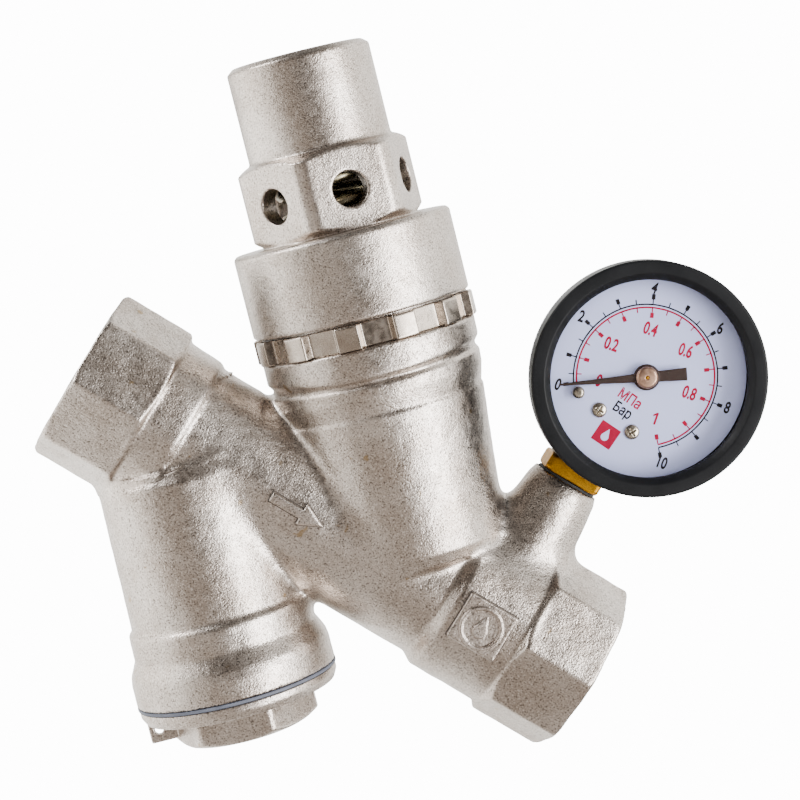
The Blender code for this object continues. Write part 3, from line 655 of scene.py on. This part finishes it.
def make_reliefs():
    """Flow arrow, and the square pad with a plain drop in a ring, on the forging's front."""
    front = Matrix.Rotation(math.pi / 2, 4, "X")
    outline = [(-16.4, -1.2), (-8.6, -1.2), (-8.6, -2.75), (-2.8, 0), (-8.6, 2.75), (-8.6, 1.2),
               (-16.4, 1.2)]
    arrow = outline_field(outline, front, 15.5, PIPE_RADIUS + 1.15, 0.7)
    pad = box_field(WORLD, PAD_LOW, PAD_HIGH, 0.5)
    seat = front @ Matrix.Translation((39.0, -1.4, 0))
    ring = turned_field(seat, [(4.9, 15.0), (4.9, 20.5)], 0.1, 0.12)
    hollow = turned_field(seat, [(4.2, 14.0), (4.2, 22.0)], 0.1, 0.15)
    drop = outline_field(drop_outline(2.2, 0, -0.3), seat, 15.0, 20.5, 0.12)

    def badge(p):
        d = join(pad(p), overlap(ring(p), -hollow(p), 0.15), 0.2)
        return join(d, drop(p), 0.2)

    for name, distance, low, high in (
            ("flow_mark", arrow, (-17, -18.7, -3), (-2, -15.4, 3)),
            ("pad_mark", badge, (33, -20.6, -7), (45.4, -15.2, 5))):
        piece = field_piece(name, distance, low, high, 0.2, WORLD, "blasted")
    # dark tubes of painted shade along the foot of the arrow and of the pad
    make_seam("flow_mark_shadow_line", outline, PIPE_RADIUS + 0.12)
    (left, _, low), (right, _, high) = PAD_LOW, PAD_HIGH
    make_seam("pad_mark_shadow_line", [(left, low), (right, low), (right, high), (left, high)],
              OUTLET_RADIUS + 0.08)


def make_seam(name, outline, radius, steps=8):
    """Painted shade: a dark tube along the crease where a raised mark meets the round surface under
    it.
    """
    points = []
    for (ax, az), (bx, bz) in zip(outline, outline[1:] + outline[:1]):
        for i in range(steps):
            x, z = ax + (bx - ax) * i / steps, az + (bz - az) * i / steps
            points.append((x, -math.sqrt(radius ** 2 - z ** 2), z))
    line = swept(name, points + points[:1], 0.25, WORLD, "shaded_crease", sides=6)


def bore_fields():
    """Everything that is bored out of the body."""
    bores = [(PIPE, THREAD_ROOT + 0.2, -PORT_X - 2, PORT_DEPTH - PORT_X),
             (PIPE, THREAD_ROOT + 0.2, PORT_X - PORT_DEPTH, PORT_X + 2),
             (PIPE, 12.5, -50, -36), (LEG, 12.5, -8, 15), (LEG, 16.8, 14, 62), (LEG, 18.5, 47, 62),
             (CROSS, 9.0, -22, 24), (BONNET, 8.8, -4, 13.5), (BONNET, 10.3, 13, 18),
             (BONNET, 17.5, 17, 71), (PIPE, 12.0, 40, 50), (BOSS, 5.8, 20, 36),
             (BOSS, 7.35, BOSS_TOP, 37), (BOSS, 2.2, 5, 21)]
    bores += [(BONNET, 3.4, -12, 20, *polar(14.6, math.radians(25 * i))) for i in range(-2, 3)]
    return [rod_field(*bore) for bore in bores]


def make_body():
    pipe, chamber, leg, boss = body_fields()
    bed = box_field(WORLD, [a + 0.6 for a in PAD_LOW], [b - 0.6 for b in PAD_HIGH], 0.5)
    ports, bores = (port_field(-1), port_field(1)), bore_fields()

    def distance(p):
        d = pipe(p)
        for port in ports:
            d = join(d, port(p), 1.2)
        d = join(d, chamber(p), 3.0)
        d = join(d, leg(p), 3.2)
        d = join(d, boss(p), 4.5)
        d = join(d, bed(p), 0.6) + waves(p)
        for bore in bores:
            d = overlap(d, -bore(p), 0.5)
        return d

    piece = field_piece("forged_body", distance, (-68.5, -26, -63), (68.5, 26, 69), 0.5, WORLD,
                        "forged", keep=0.5)
    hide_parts("valve_body")
    for side, name in ((-1, "inlet_thread"), (1, "outlet_thread")):
        thread(name, side)


def thread(name, side, around=96, along=110):
    """The helical female thread at one port, as a liner in the body's bore."""
    shape = bmesh.new()
    length = PORT_DEPTH - 0.2
    inner, outer = [], []
    for i in range(along + 1):
        depth = length * i / along
        station = side * (PORT_X - 0.03 - depth)
        row = []
        for k in range(around):
            angle = 2 * math.pi * k / around
            phase = (depth / THREAD_PITCH + side * angle / (2 * math.pi)) % 1.0
            crest = min(1.0, max(0.0, abs(phase - 0.5) * 2.6 - 0.15))
            radius = THREAD_CREST + (THREAD_ROOT - THREAD_CREST) * crest
            mouth = THREAD_ROOT - 0.1 - depth * 1.1
            run_out = THREAD_CREST + (depth - length + 2.2) * 1.2
            radius = min(THREAD_ROOT, max(radius, mouth, run_out))
            row.append(shape.verts.new((Vector((*polar(radius, angle), station))) * MM))
        inner.append(row)
        if i in (0, along):
            outer.append([shape.verts.new(Vector((*polar(THREAD_ROOT + 0.6, 2 * math.pi * k / around),
                                                  station)) * MM) for k in range(around)])
    for a, b in [*zip(inner, inner[1:]), (inner[-1], outer[1]), (outer[1], outer[0]),
                 (outer[0], inner[0])]:
        for k in range(around):
            n = (k + 1) % around
            shape.faces.new((a[k], a[n], b[n], b[k]))
    return mesh_piece(name, shape, PIPE, "nickel", angle=50)


# Bonnet branch

def make_lock_ring():
    blank = turned_field(WORLD, [(RING_RADIUS - 0.15, 57.1), (RING_RADIUS, 57.3),
                                 (RING_RADIUS, 62.3), (RING_RADIUS - 0.3, 62.6)], 0.1, 0.15)
    hole = turned_field(WORLD, [(NECK_RADIUS + 0.3, 56), (NECK_RADIUS + 0.3, 64)], 0.1, 0.1)
    pitch = 2 * math.pi / RING_LUGS
    half_slot, flare = 3.1, 0.5                        # slots widen outwards by `flare` a side

    def distance(p):
        x, y, z = p
        angle = np.arctan2(y, x) - RING_TURN - pitch / 2
        angle = angle - pitch * np.round(angle / pitch)
        reach = np.sqrt(x * x + y * y)
        depth = reach * np.cos(angle) - RING_RECESS
        wall = (np.abs(reach * np.sin(angle)) - half_slot - flare * depth) * 0.9
        d = overlap(blank(p), -overlap(wall, -depth, 0.15), 0.2)
        return overlap(d, -hole(p), 0.2)

    piece = field_piece("castle_ring", distance, (-26, -26, 57), (26, 26, 62.8), 0.24,
                        BONNET, "nickel")
    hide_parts("lock_ring")


def make_bonnet():
    cap = turned_field(BONNET, [(16.5, 80), (16.5, CAP_TOP - 1.2), (15.0, CAP_TOP)], 0.35, 0.3)
    skirt = turned_field(BONNET, [(25.0, 63.1), (25.25, 63.5), (25.25, SKIRT_TOP - 0.8),
                                  (24.5, SKIRT_TOP)], 0.3, 0.3)
    slope = math.tan(math.radians(30))
    drop = (HEX_CORNER - HEX_FLATS / 2 + 0.7) * slope
    arcs = turned_field(BONNET, [(HEX_FLATS / 2 - 0.5, 81.0), (HEX_FLATS / 2 - 0.2, 82.7),
                                (HEX_CORNER, 82.7 + drop), (HEX_CORNER, 101.2 - drop),
                                (HEX_FLATS / 2 - 0.7, 101.2)], 0.2, 0.3)
    hexagon = prism_field(BONNET, 6, HEX_FLATS, HEX_TURN, 0.5)
    rooms = [turned_field(BONNET, [(22.1, 61), (22.1, 74), (19.0, 76), (14.2, 80), (14.2, 107.5)],
                          0.2, 0.3),
             rod_field(BONNET, 6.15, 106, 116), rod_field(BONNET, 10.0, 114, CAP_TOP + 2, edge=0.6)]
    vents = []
    for i in range(3):
        angle = HEX_TURN + math.pi / 3 * i
        vents.append(BONNET @ Matrix.Translation((0, 0, VENT_STATION))
                     @ Matrix.Rotation(angle, 4, "Z") @ TURN_Y)
    vents = [rod_field(frame, 4.0, -26, 26) for frame in vents]

    def distance(p):
        d = join(cap(p), overlap(hexagon(p), arcs(p), 0.35), 0.9)
        d = join(d, skirt(p), 0.8)
        for room in rooms:
            d = overlap(d, -room(p), 0.4)
        for vent in vents:
            d = overlap(d, -vent(p), 0.35)
        return d

    piece = field_piece("bonnet_shell", distance, (-74, -25.5, 26), (-0.5, 25.5, 99.5), 0.42,
                        WORLD, "blasted")
    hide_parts("bonnet")


def make_spring():
    per_turn, turns, wire = 48, 6.5, 1.5
    count = int(per_turn * turns)
    points = []
    for i in range(count + 1):
        turn = i / per_turn
        ends = 0.55                                    # share of a turn that lies flat at each end
        climb = min(max((turn - ends) / (turns - 2 * ends), 0.0), 1.0)
        x, y = polar(11.0, 2 * math.pi * turn)
        points.append((x, y, SPRING_FOOT + (SPRING_HEAD - SPRING_FOOT) * climb))
    coil = swept("coil_spring", points, wire, BONNET, "spring")
    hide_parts("regulating_spring")
    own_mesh(coil)


def make_adjuster():
    seat = lathe("spring_plate", [(0, 101.1), (12.8, 101.1), (12.8, 97.5), (8.8, 97.5),
                                  (8.8, 93.5), (0, 93.5)], BONNET, "steel", "upper_spring_seat")
    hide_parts("spring_seat")
    pitch = 1.5
    stud = turned_field(WORLD, [(4.6, 101.4), (5.8, 102.6), (5.8, 114.5), (5.1, 115.2)], 0.1, 0.2)
    socket = prism_field(WORLD, 6, 6.0, math.pi / 6, 0.15)

    def distance(p):
        x, y, z = p
        ridge = 0.32 * np.abs(((z / pitch - np.arctan2(y, x) / (2 * math.pi)) % 1.0) * 2 - 1)
        d = stud(p) + ridge * (z < 114.2)
        return overlap(d, -overlap(socket(p), 109.2 - z, 0.15), 0.2)

    screw = field_piece("setting_screw", distance, (-6, -6, 101), (6, 6, 115.4), 0.22, BONNET,
                        "steel", "screw")
    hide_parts("adjusting_screw")


# Strainer leg

def make_plug():
    flange = turned_field(WORLD, [(23.2, 61.85), (23.2, 63.4), (22.3, FLANGE_END)], 0.3, 0.2)
    tube = turned_field(WORLD, [(17.7, 48.5), (18.2, 49.2), (18.2, 62.2)], 0.1, 0.2)
    corner, pitch = 17.2, 2.0
    arcs = turned_field(WORLD, [(corner, 64.0), (corner, 70.9), (14.6, 72.3)], 0.3, 0.4)
    hexagon = prism_field(WORLD, 6, PLUG_FLATS, PLUG_TURN, 0.7)
    ear = box_field(WORLD, (16.0, -1.1, 63.5), (22.4, 1.1, 70.4), 0.5)
    sideways = Matrix.Translation((20.1, 0, 67.6)) @ Matrix.Rotation(math.pi / 2, 4, "X")
    ear_hole = rod_field(sideways, 1.0, -3, 3, edge=0.2)
    hollow = rod_field(WORLD, 14.0, 47, 59)

    def distance(p):
        x, y, z = p
        ridge = 0.9 * np.abs(((z / pitch - np.arctan2(y, x) / (2 * math.pi)) % 1.0) * 2 - 1)
        d = join(flange(p), tube(p) * 0.8 + ridge * 0.6 * (z < 60.4), 0.3)
        d = join(d, overlap(hexagon(p), arcs(p), 0.5), 0.7)
        d = join(d, overlap(ear(p), -ear_hole(p), 0.2), 0.6)
        return overlap(d, -hollow(p), 0.3)

    piece = field_piece("leg_plug", distance, (-23.3, -23.3, 48), (23.3, 23.3, 72.5), 0.36, LEG,
                        "forged", "plug")
    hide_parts("strainer_plug")
    gasket = lathe("fibre_gasket", [(23.5, 61.75), (23.5, 61.0), (18.8, 61.0), (18.8, 61.75)],
                   LEG, "fibre", "strainer", cut=0.22)
    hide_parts("plug_gasket")


def make_basket():
    """Perforated steel tube with a plain rim at each end."""
    radius, foot, top = 13.2, 15.6, 57.6
    around, rows = 60, 34
    shape = bmesh.new()
    grid = [[shape.verts.new((*(Vector(polar(radius, 2 * math.pi * (k + 0.5 * (i % 2)) / around))
                                * MM), (foot + (top - foot) * i / rows) * MM))
             for k in range(around)] for i in range(rows + 1)]
    for i in range(rows):
        for k in range(around):
            n = (k + 1) % around
            shape.faces.new((grid[i][k], grid[i][n], grid[i + 1][n], grid[i + 1][k]))
    mesh = bpy.data.meshes.new("strainer_sieve")
    shape.to_mesh(mesh)
    shape.free()
    sieve = show("strainer_sieve", mesh, LEG, "steel", "strainer")
    wires = sieve.modifiers.new("wires", "WIREFRAME")
    wires.thickness = 0.45 * MM
    wires.use_even_offset = False
    rim = lathe("sieve_collar", [(16.0, 16.3), (16.0, 14.3), (12.8, 14.3), (12.8, 16.9),
                                 (13.6, 16.9), (13.6, 16.3)], LEG, "steel", "strainer", cut=0.2)
    end = lathe("sieve_end", [(13.6, 58.5), (13.6, 56.6), (12.8, 56.6), (12.8, 58.5)], LEG,
                "steel", "strainer", cut=0.15)
    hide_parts("strainer_basket")


# Gauge

def make_stem():
    seal = lathe("stem_seal", [(7.3, 36.15), (7.3, 35.0), (5.8, 35.0), (5.8, 36.15)], BOSS,
                 "rubber", cut=0.25)
    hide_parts("gauge_seal")
    square = prism_field(WORLD, 4, 13.8, 0.0, 0.5)
    round_off = turned_field(WORLD, [(8.3, 36.2), (9.3, 36.9), (9.3, 39.5), (8.3, 40.2)], 0.15, 0.3)
    shank = turned_field(WORLD, [(5.0, 22.5), (5.4, 23.2), (5.4, 36.4)], 0.1, 0.2)
    neck = turned_field(WORLD, [(4.4, 36.3), (4.4, 49.0)], 0.1, 0.3)
    bore = rod_field(WORLD, 1.5, 20, 45)

    def distance(p):
        d = join(overlap(square(p), round_off(p), 0.3), shank(p), 0.3)
        d = join(d, neck(p), 0.5)
        return overlap(d, -bore(p), 0.2)

    stem = field_piece("brass_stem", distance, (-7.2, -7.2, 22), (7.2, 7.2, 49.2), 0.26, BOSS,
                       "brass")
    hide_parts("gauge_stem")


def make_gauge_shell():
    shell = turned_field(WORLD, [(CASE_RADIUS - 1, CASE_BACK), (CASE_RADIUS, CASE_BACK + 1.4),
                                 (CASE_RADIUS, 14.7)], 0.5, 0.4)
    hollow = rod_field(WORLD, CASE_ROOM, CASE_BACK + 1.2, 20)
    slot = rod_field(Matrix.Rotation(math.pi / 2, 4, "X"), 5.2, 20, 28, edge=0.3)
    outlet = rod_field(Matrix.Translation((0, 12, 0)), 3.2, -12, -5, edge=0.2)

    def distance(p):
        d = shell(p)
        for other in (hollow, slot, outlet):
            d = overlap(d, -other(p), 0.3)
        return d

    case = field_piece("black_case", distance, (-25, -25, CASE_BACK), (25, 25, 15), 0.42,
                       GAUGE, "black")
    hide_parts("gauge_case")
    front = GAUGE_FRONT
    outer, inner = GAUGE_RADIUS, DIAL_OPENING
    rim = lathe("black_rim", [
        (outer - 0.4, front), (outer, front - 0.4), (outer, 9.3), (outer - 0.3, 9.0),
        (CASE_RADIUS + 0.25, 9.0), (CASE_RADIUS + 0.25, front - 2.1), (inner, front - 2.1),
        (inner, front - 1.5), (inner + 0.5, front - 0.9), (inner + 1.5, front)],
        GAUGE, "black", steps=160, cut=0.22)
    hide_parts("gauge_ring")
    pane = lathe("clear_pane", [(0, front - 2.5), (23.1, front - 2.5), (23.1, front - 4.0),
                                (0, front - 4.0)], GAUGE, "glass", cut=0.15)
    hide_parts("gauge_window")
    plug = lathe("rear_plug", [(0, -7.75), (3.9, -7.75), (4.2, -7.3), (2.9, -7.25), (2.9, -5.4),
                               (0, -5.4)][::-1], GAUGE @ Matrix.Translation((0, 12, 0)),
                 "rubber", steps=48, cut=0.12)
    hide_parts("blow_out_plug")


def bar_angle(bar):
    """Angle of a pressure on the dial; the scale is squeezed below half a bar."""
    if bar >= 1:
        share = (bar - 1) / 9
        return math.radians(198 - 27 * (bar - 1) + 4.3 * math.sin(math.pi * share ** 1.8))
    low = {0.0: 219.2, 0.5: 211.5}
    return math.radians(low[bar])


def scale_print(arc_radius, outward, line):
    """One scale: an arc with a thin tick each half bar and a block each bar."""
    shape = bmesh.new()
    foot, top = DIAL_FACE, DIAL_FACE + PRINT
    first, last = bar_angle(0.0), bar_angle(10.0)
    angles = [first + (last - first) * i / 90 for i in range(91)]
    strip(shape, [polar(arc_radius - line / 2, a) for a in angles],
          [polar(arc_radius + line / 2, a) for a in angles], foot, top)
    for i in range(21):
        angle = bar_angle(i / 2)
        radial, side = Vector(polar(1.0, angle)), Vector(polar(1.0, angle + math.pi / 2))
        marks = [(0.0, 1.15, 0.13)] if i % 2 else [(0.0, 1.15, 0.13),
                                                   (1.15, 2.35, 0.42)]
        for start, end, half in marks:
            a = radial * (arc_radius + outward * start)
            b = radial * (arc_radius + outward * end)
            strip(shape, [a - side * half, b - side * half], [a + side * half, b + side * half],
                  foot, top)
    return shape


def lettering(shape, text, size, x, y, weight=0.0, narrow=0.78, turn=0.0):
    """Adds lettering, centred on a point of the dial, to a bmesh."""
    curve = bpy.data.curves.new("lettering", "FONT")
    curve.body = text
    curve.size = 1.0
    curve.align_x = "CENTER"
    curve.align_y = "CENTER"
    curve.offset = weight
    curve.resolution_u = 6
    curve.extrude = PRINT / 2 / size
    holder = bpy.data.objects.new("lettering", curve)
    bpy.context.scene.collection.objects.link(holder)
    depsgraph = bpy.context.evaluated_depsgraph_get()
    mesh = bpy.data.meshes.new_from_object(holder.evaluated_get(depsgraph))
    bpy.data.objects.remove(holder)
    scale = Matrix.Diagonal((size * narrow * MM, size * MM, size * MM, 1.0))
    mesh.transform(Matrix.Translation(Vector((x, y, DIAL_FACE + PRINT / 2)) * MM)
                   @ Matrix.Rotation(turn, 4, "Z") @ scale)
    shape.from_mesh(mesh)
    bpy.data.meshes.remove(mesh)


def figure_one(x, y, lean):
    """Outline of a figure 1 with a flag."""
    figure = [(0.28, -1.4), (0.28, 1.4), (-0.1, 1.4), (-0.8, 0.8), (-0.8, 0.3), (-0.2, 0.75),
              (-0.2, -1.4)]
    return [(x + a * math.cos(lean) - b * math.sin(lean),
             y + a * math.sin(lean) + b * math.cos(lean)) for a, b in figure]


def make_dial():
    face = lathe("white_dial", [(0, DIAL_FACE), (23.0, DIAL_FACE), (23.0, DIAL_FACE - 0.6),
                                (0, DIAL_FACE - 0.6)], GAUGE, "dial", steps=128, cut=0.1)
    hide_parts("dial_plate")
    black = scale_print(16.4, 1, 0.34)
    lean = math.radians(15)                            # the numbers stand turned by this
    for bar in (0, 2, 4, 6, 8, 10):
        lettering(black, str(bar), 3.7, *polar(20.0, bar_angle(float(bar))), weight=0.03,
                  narrow=0.70, turn=lean)
    lettering(black, "Бар", 3.3, 0.0, -9.3, weight=0.02)
    red = scale_print(15.7, -1, 0.38)
    for bar in (0, 2, 4, 6, 8):
        lettering(red, f"0.{bar}" if bar else "0", 3.95, *polar(10.7, bar_angle(float(bar))),
                  weight=0.03, narrow=0.66, turn=lean)
    x, y = polar(10.4, bar_angle(10.0))
    prism_mesh(red, figure_one(x, y + 0.8, lean), DIAL_FACE, DIAL_FACE + PRINT)
    lettering(red, "МПа", 3.3, -0.1, -6.2, weight=0.02, narrow=0.82)
    half, middle, foot, top = 2.5, -15.9, DIAL_FACE, DIAL_FACE + PRINT
    strip(red, [(-half, middle - half), (half, middle - half)],
          [(-half, middle + half), (half, middle + half)], foot, top)
    for name, shape, finish in (("black_print", black, "print_black"),
                                ("red_print", red, "print_red")):
        mesh_piece(name, shape, GAUGE, finish)
    shape = bmesh.new()
    prism_mesh(shape, drop_outline(1.25, 0, middle - 0.25), foot, top + 0.03)
    mesh_piece("drop_print", shape, GAUGE, "dial")
    for i, x in enumerate((-4.5, 4.5)):
        make_dial_screw(i + 1, x, -12.1)
    x, y = polar(15.8, STOP_PIN)
    pin = lathe("zero_stop", [(0, 12.15), (0.9, 12.05), (1.4, 11.6), (1.35, 9.75), (0, 9.75)],
                GAUGE @ Matrix.Translation((x, y, 0)), "screw", steps=32, cut=0.2)
    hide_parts("stop_pin")


def make_dial_screw(number, x, y):
    """A small pan head screw with a cross recess."""
    head = turned_field(WORLD, [(1.75, 9.62), (1.75, 9.9), (1.2, 10.35), (0.0, 10.45)], 0.2, 0.1)
    shank = turned_field(WORLD, [(0.7, 7.6), (0.7, 9.9)], 0.1, 0.1)
    turn = Matrix.Rotation(0.5 + 1.1 * number, 4, "Z")
    slots = [box_field(turn @ Matrix.Rotation(a, 4, "Z"), (-0.95, -0.19, 9.85), (0.95, 0.19, 12),
                       0.08) for a in (0.0, math.pi / 2)]

    def distance(p):
        d = join(head(p), shank(p), 0.1)
        for slot in slots:
            d = overlap(d, -slot(p), 0.08)
        return d

    piece = field_piece(f"pan_head_{number}", distance, (-2, -2, 7.4), (2, 2, 10.6), 0.09,
                        GAUGE @ Matrix.Translation((x, y, 0)), "screw")
    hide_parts(f"dial_screw_{number}")


def make_pointer():
    tip, tail, hub = 19.9, 9.2, 3.0
    blade = outline_field([(tip, -0.24), (tip, 0.24), (1.5, 1.05), (-tail, 1.5), (-tail, -1.5),
                           (1.5, -1.05)], WORLD, 11.0, 11.4)
    boss = turned_field(WORLD, [(hub, 11.0), (hub, 11.35), (2.65, 11.62)], 0.1, 0.1)
    piece = field_piece("pointer_blade", lambda p: join(blade(p), boss(p), 0.15),
                        (-9.4, -3.2, 10.9), (20.1, 3.2, 11.7), 0.1,
                        GAUGE @ Matrix.Rotation(POINTER_REST, 4, "Z"), "pointer", "gauge_pointer",
                        keep=0.5)
    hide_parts("pointer")
    cap = lathe("hub_cap", [(0, 12.25), (0.35, 12.3), (0.5, 12.58), (2.0, 12.5), (2.45, 12.15),
                            (2.5, 11.65), (0, 11.65)], GAUGE, "rosy", "gauge_pointer", steps=64,
                cut=0.12)
    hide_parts("pointer_cap")
    dot = lathe("hub_dot", [(0, 12.5), (0.3, 12.5), (0.42, 12.2), (0, 12.2)], GAUGE, "brass",
                "gauge_pointer", steps=24, cut=0.06)


# Remaining CAD nodes

BRASS_NODES = ["piston", "spindle", "disc_holder", "dial_post_1", "dial_post_2", "sector_gear",
               "pull_link", "movement_front_plate", "movement_back_plate", "bourdon_tube",
               *(f"movement_pillar_{i}" for i in range(1, 5))]
KEPT = {"brass": BRASS_NODES, "steel": ["seat_insert", "piston_nut", "disc_nut", "pointer_arbor"],
        "rubber": ["piston_seal", "disc_seal"], "spring": ["hairspring"]}


def dress_kept_nodes():
    for finish, nodes in KEPT.items():
        for node in nodes:
            mesh = frame["nodes"][node].data
            mesh.materials.clear()
            mesh.materials.append(FINISHES[finish])


# Studio

def make_floor():
    """A pale floor that glows as brightly as the backdrop where it is seen directly."""
    shape = bmesh.new()
    bmesh.ops.create_grid(shape, x_segments=1, y_segments=1, size=6.0)
    mesh = bpy.data.meshes.new("floor")
    shape.to_mesh(mesh)
    shape.free()
    floor = bpy.data.objects.new("floor", mesh)
    floor.location = (0, 0, -0.14)
    material = FINISHES["floor"]
    nodes, links = material.node_tree.nodes, material.node_tree.links
    glow = nodes.new("ShaderNodeEmission")
    glow.inputs["Strength"].default_value = BACKDROP
    blend = nodes.new("ShaderNodeMixShader")
    links.new(nodes.new("ShaderNodeLightPath").outputs["Is Camera Ray"], blend.inputs[0])
    links.new(nodes["Principled BSDF"].outputs["BSDF"], blend.inputs[1])
    links.new(glow.outputs["Emission"], blend.inputs[2])
    links.new(blend.outputs["Shader"], nodes["Material Output"].inputs["Surface"])
    mesh.materials.append(material)
    bpy.context.scene.collection.objects.link(floor)


def add_light(name, azimuth, height, distance, size, power, colour=(1, 1, 1)):
    """A soft box aimed at the valve; azimuth runs from -Y towards +X."""
    light = bpy.data.lights.new(name, "AREA")
    light.shape = "RECTANGLE"
    light.size, light.size_y = size
    light.energy = power
    light.color = colour
    item = bpy.data.objects.new(name, light)
    angle, rise = math.radians(azimuth), math.radians(height)
    place = Vector((math.sin(angle) * math.cos(rise), -math.cos(angle) * math.cos(rise),
                    math.sin(rise))) * distance
    item.location = place
    item.rotation_euler = place.to_track_quat("Z", "Y").to_euler()
    bpy.context.scene.collection.objects.link(item)
    return item


def make_world():
    """Surroundings that fade from white behind the valve to a dim warm grey on the near side."""
    world = bpy.data.worlds.new("studio")
    world.use_nodes = True
    nodes, links = world.node_tree.nodes, world.node_tree.links
    heading = nodes.new("ShaderNodeTexCoord").outputs["Generated"]

    def facing(direction, **span):
        """Cosine of the angle to `direction`, mapped from one range to another."""
        cosine = nodes.new("ShaderNodeVectorMath")
        cosine.operation = "DOT_PRODUCT"
        cosine.inputs[1].default_value = Vector(direction).normalized()
        links.new(heading, cosine.inputs[0])
        share = nodes.new("ShaderNodeMapRange")
        for name, value in span.items():
            share.inputs[name.replace("_", " ")].default_value = value
        links.new(cosine.outputs["Value"], share.inputs["Value"])
        return share.outputs["Result"]

    ramp = nodes.new("ShaderNodeValToRGB")
    links.new(facing(DIM_SIDE, From_Min=-1.0), ramp.inputs["Fac"])
    stops = ramp.color_ramp.elements
    stops[0].color, stops[1].color = (*FAR_LIGHT, 1.0), (*NEAR_LIGHT, 1.0)
    for place, colour in LIGHT_STOPS:
        stops.new(place).color = (*colour, 1.0)
    shaded = nodes.new("ShaderNodeVectorMath")
    shaded.operation = "SCALE"
    links.new(ramp.outputs["Color"], shaded.inputs["Vector"])
    links.new(facing(DARK_PATCH, From_Min=0.60, From_Max=0.92, To_Min=1.0, To_Max=0.12),
              shaded.inputs["Scale"])
    seen = nodes.new("ShaderNodeMix")
    seen.data_type = "RGBA"
    seen.inputs["B"].default_value = (BACKDROP, BACKDROP, BACKDROP, 1.0)
    links.new(shaded.outputs["Vector"], seen.inputs["A"])
    links.new(nodes.new("ShaderNodeLightPath").outputs["Is Camera Ray"], seen.inputs["Factor"])
    links.new(seen.outputs["Result"], nodes["Background"].inputs["Color"])
    bpy.context.scene.world = world


def make_lights():
    """Two soft boxes, and two lamps that metal doesn't mirror: for the floor and for the dial."""
    add_light("key", 44, 20, 1.2, (0.55, 1.1), 29)
    add_light("left", -85, 10, 1.2, (0.5, 0.45), 12)
    wash = add_light("floor_wash", 0, 90, 0.3, (0.25, 0.25), 3.2)
    wash.location = (-0.28, 0.12, 0.16)
    fill = add_light("dial_fill", -5, 12, 1.0, (0.8, 0.8), 9)
    for item in (wash, fill):
        item.visible_glossy = False
        item.visible_camera = False


def make_camera():
    camera = bpy.data.cameras.new("camera")
    camera.lens = 110.52
    camera.sensor_width = 36.0
    camera.clip_start = 0.05
    camera.clip_end = 30.0
    item = bpy.data.objects.new("camera", camera)
    right, up = Vector((0.8561, -0.0441, 0.5149)), Vector((-0.5096, 0.0931, 0.8554))
    back = right.cross(up).normalized()
    right.normalize()
    up = back.cross(right)
    matrix = Matrix((right, up, back)).transposed().to_4x4()
    matrix.translation = Vector((-49.5, -560.0, 64.28)) * MM
    item.matrix_world = matrix
    bpy.context.scene.collection.objects.link(item)
    bpy.context.scene.camera = item


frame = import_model()
FINISHES = make_finishes()
make_body()
make_reliefs()
make_lock_ring()
make_bonnet()
make_spring()
make_adjuster()
make_plug()
make_basket()
make_stem()
make_gauge_shell()
make_dial()
make_pointer()
dress_kept_nodes()
make_floor()
make_world()
make_lights()
make_camera()
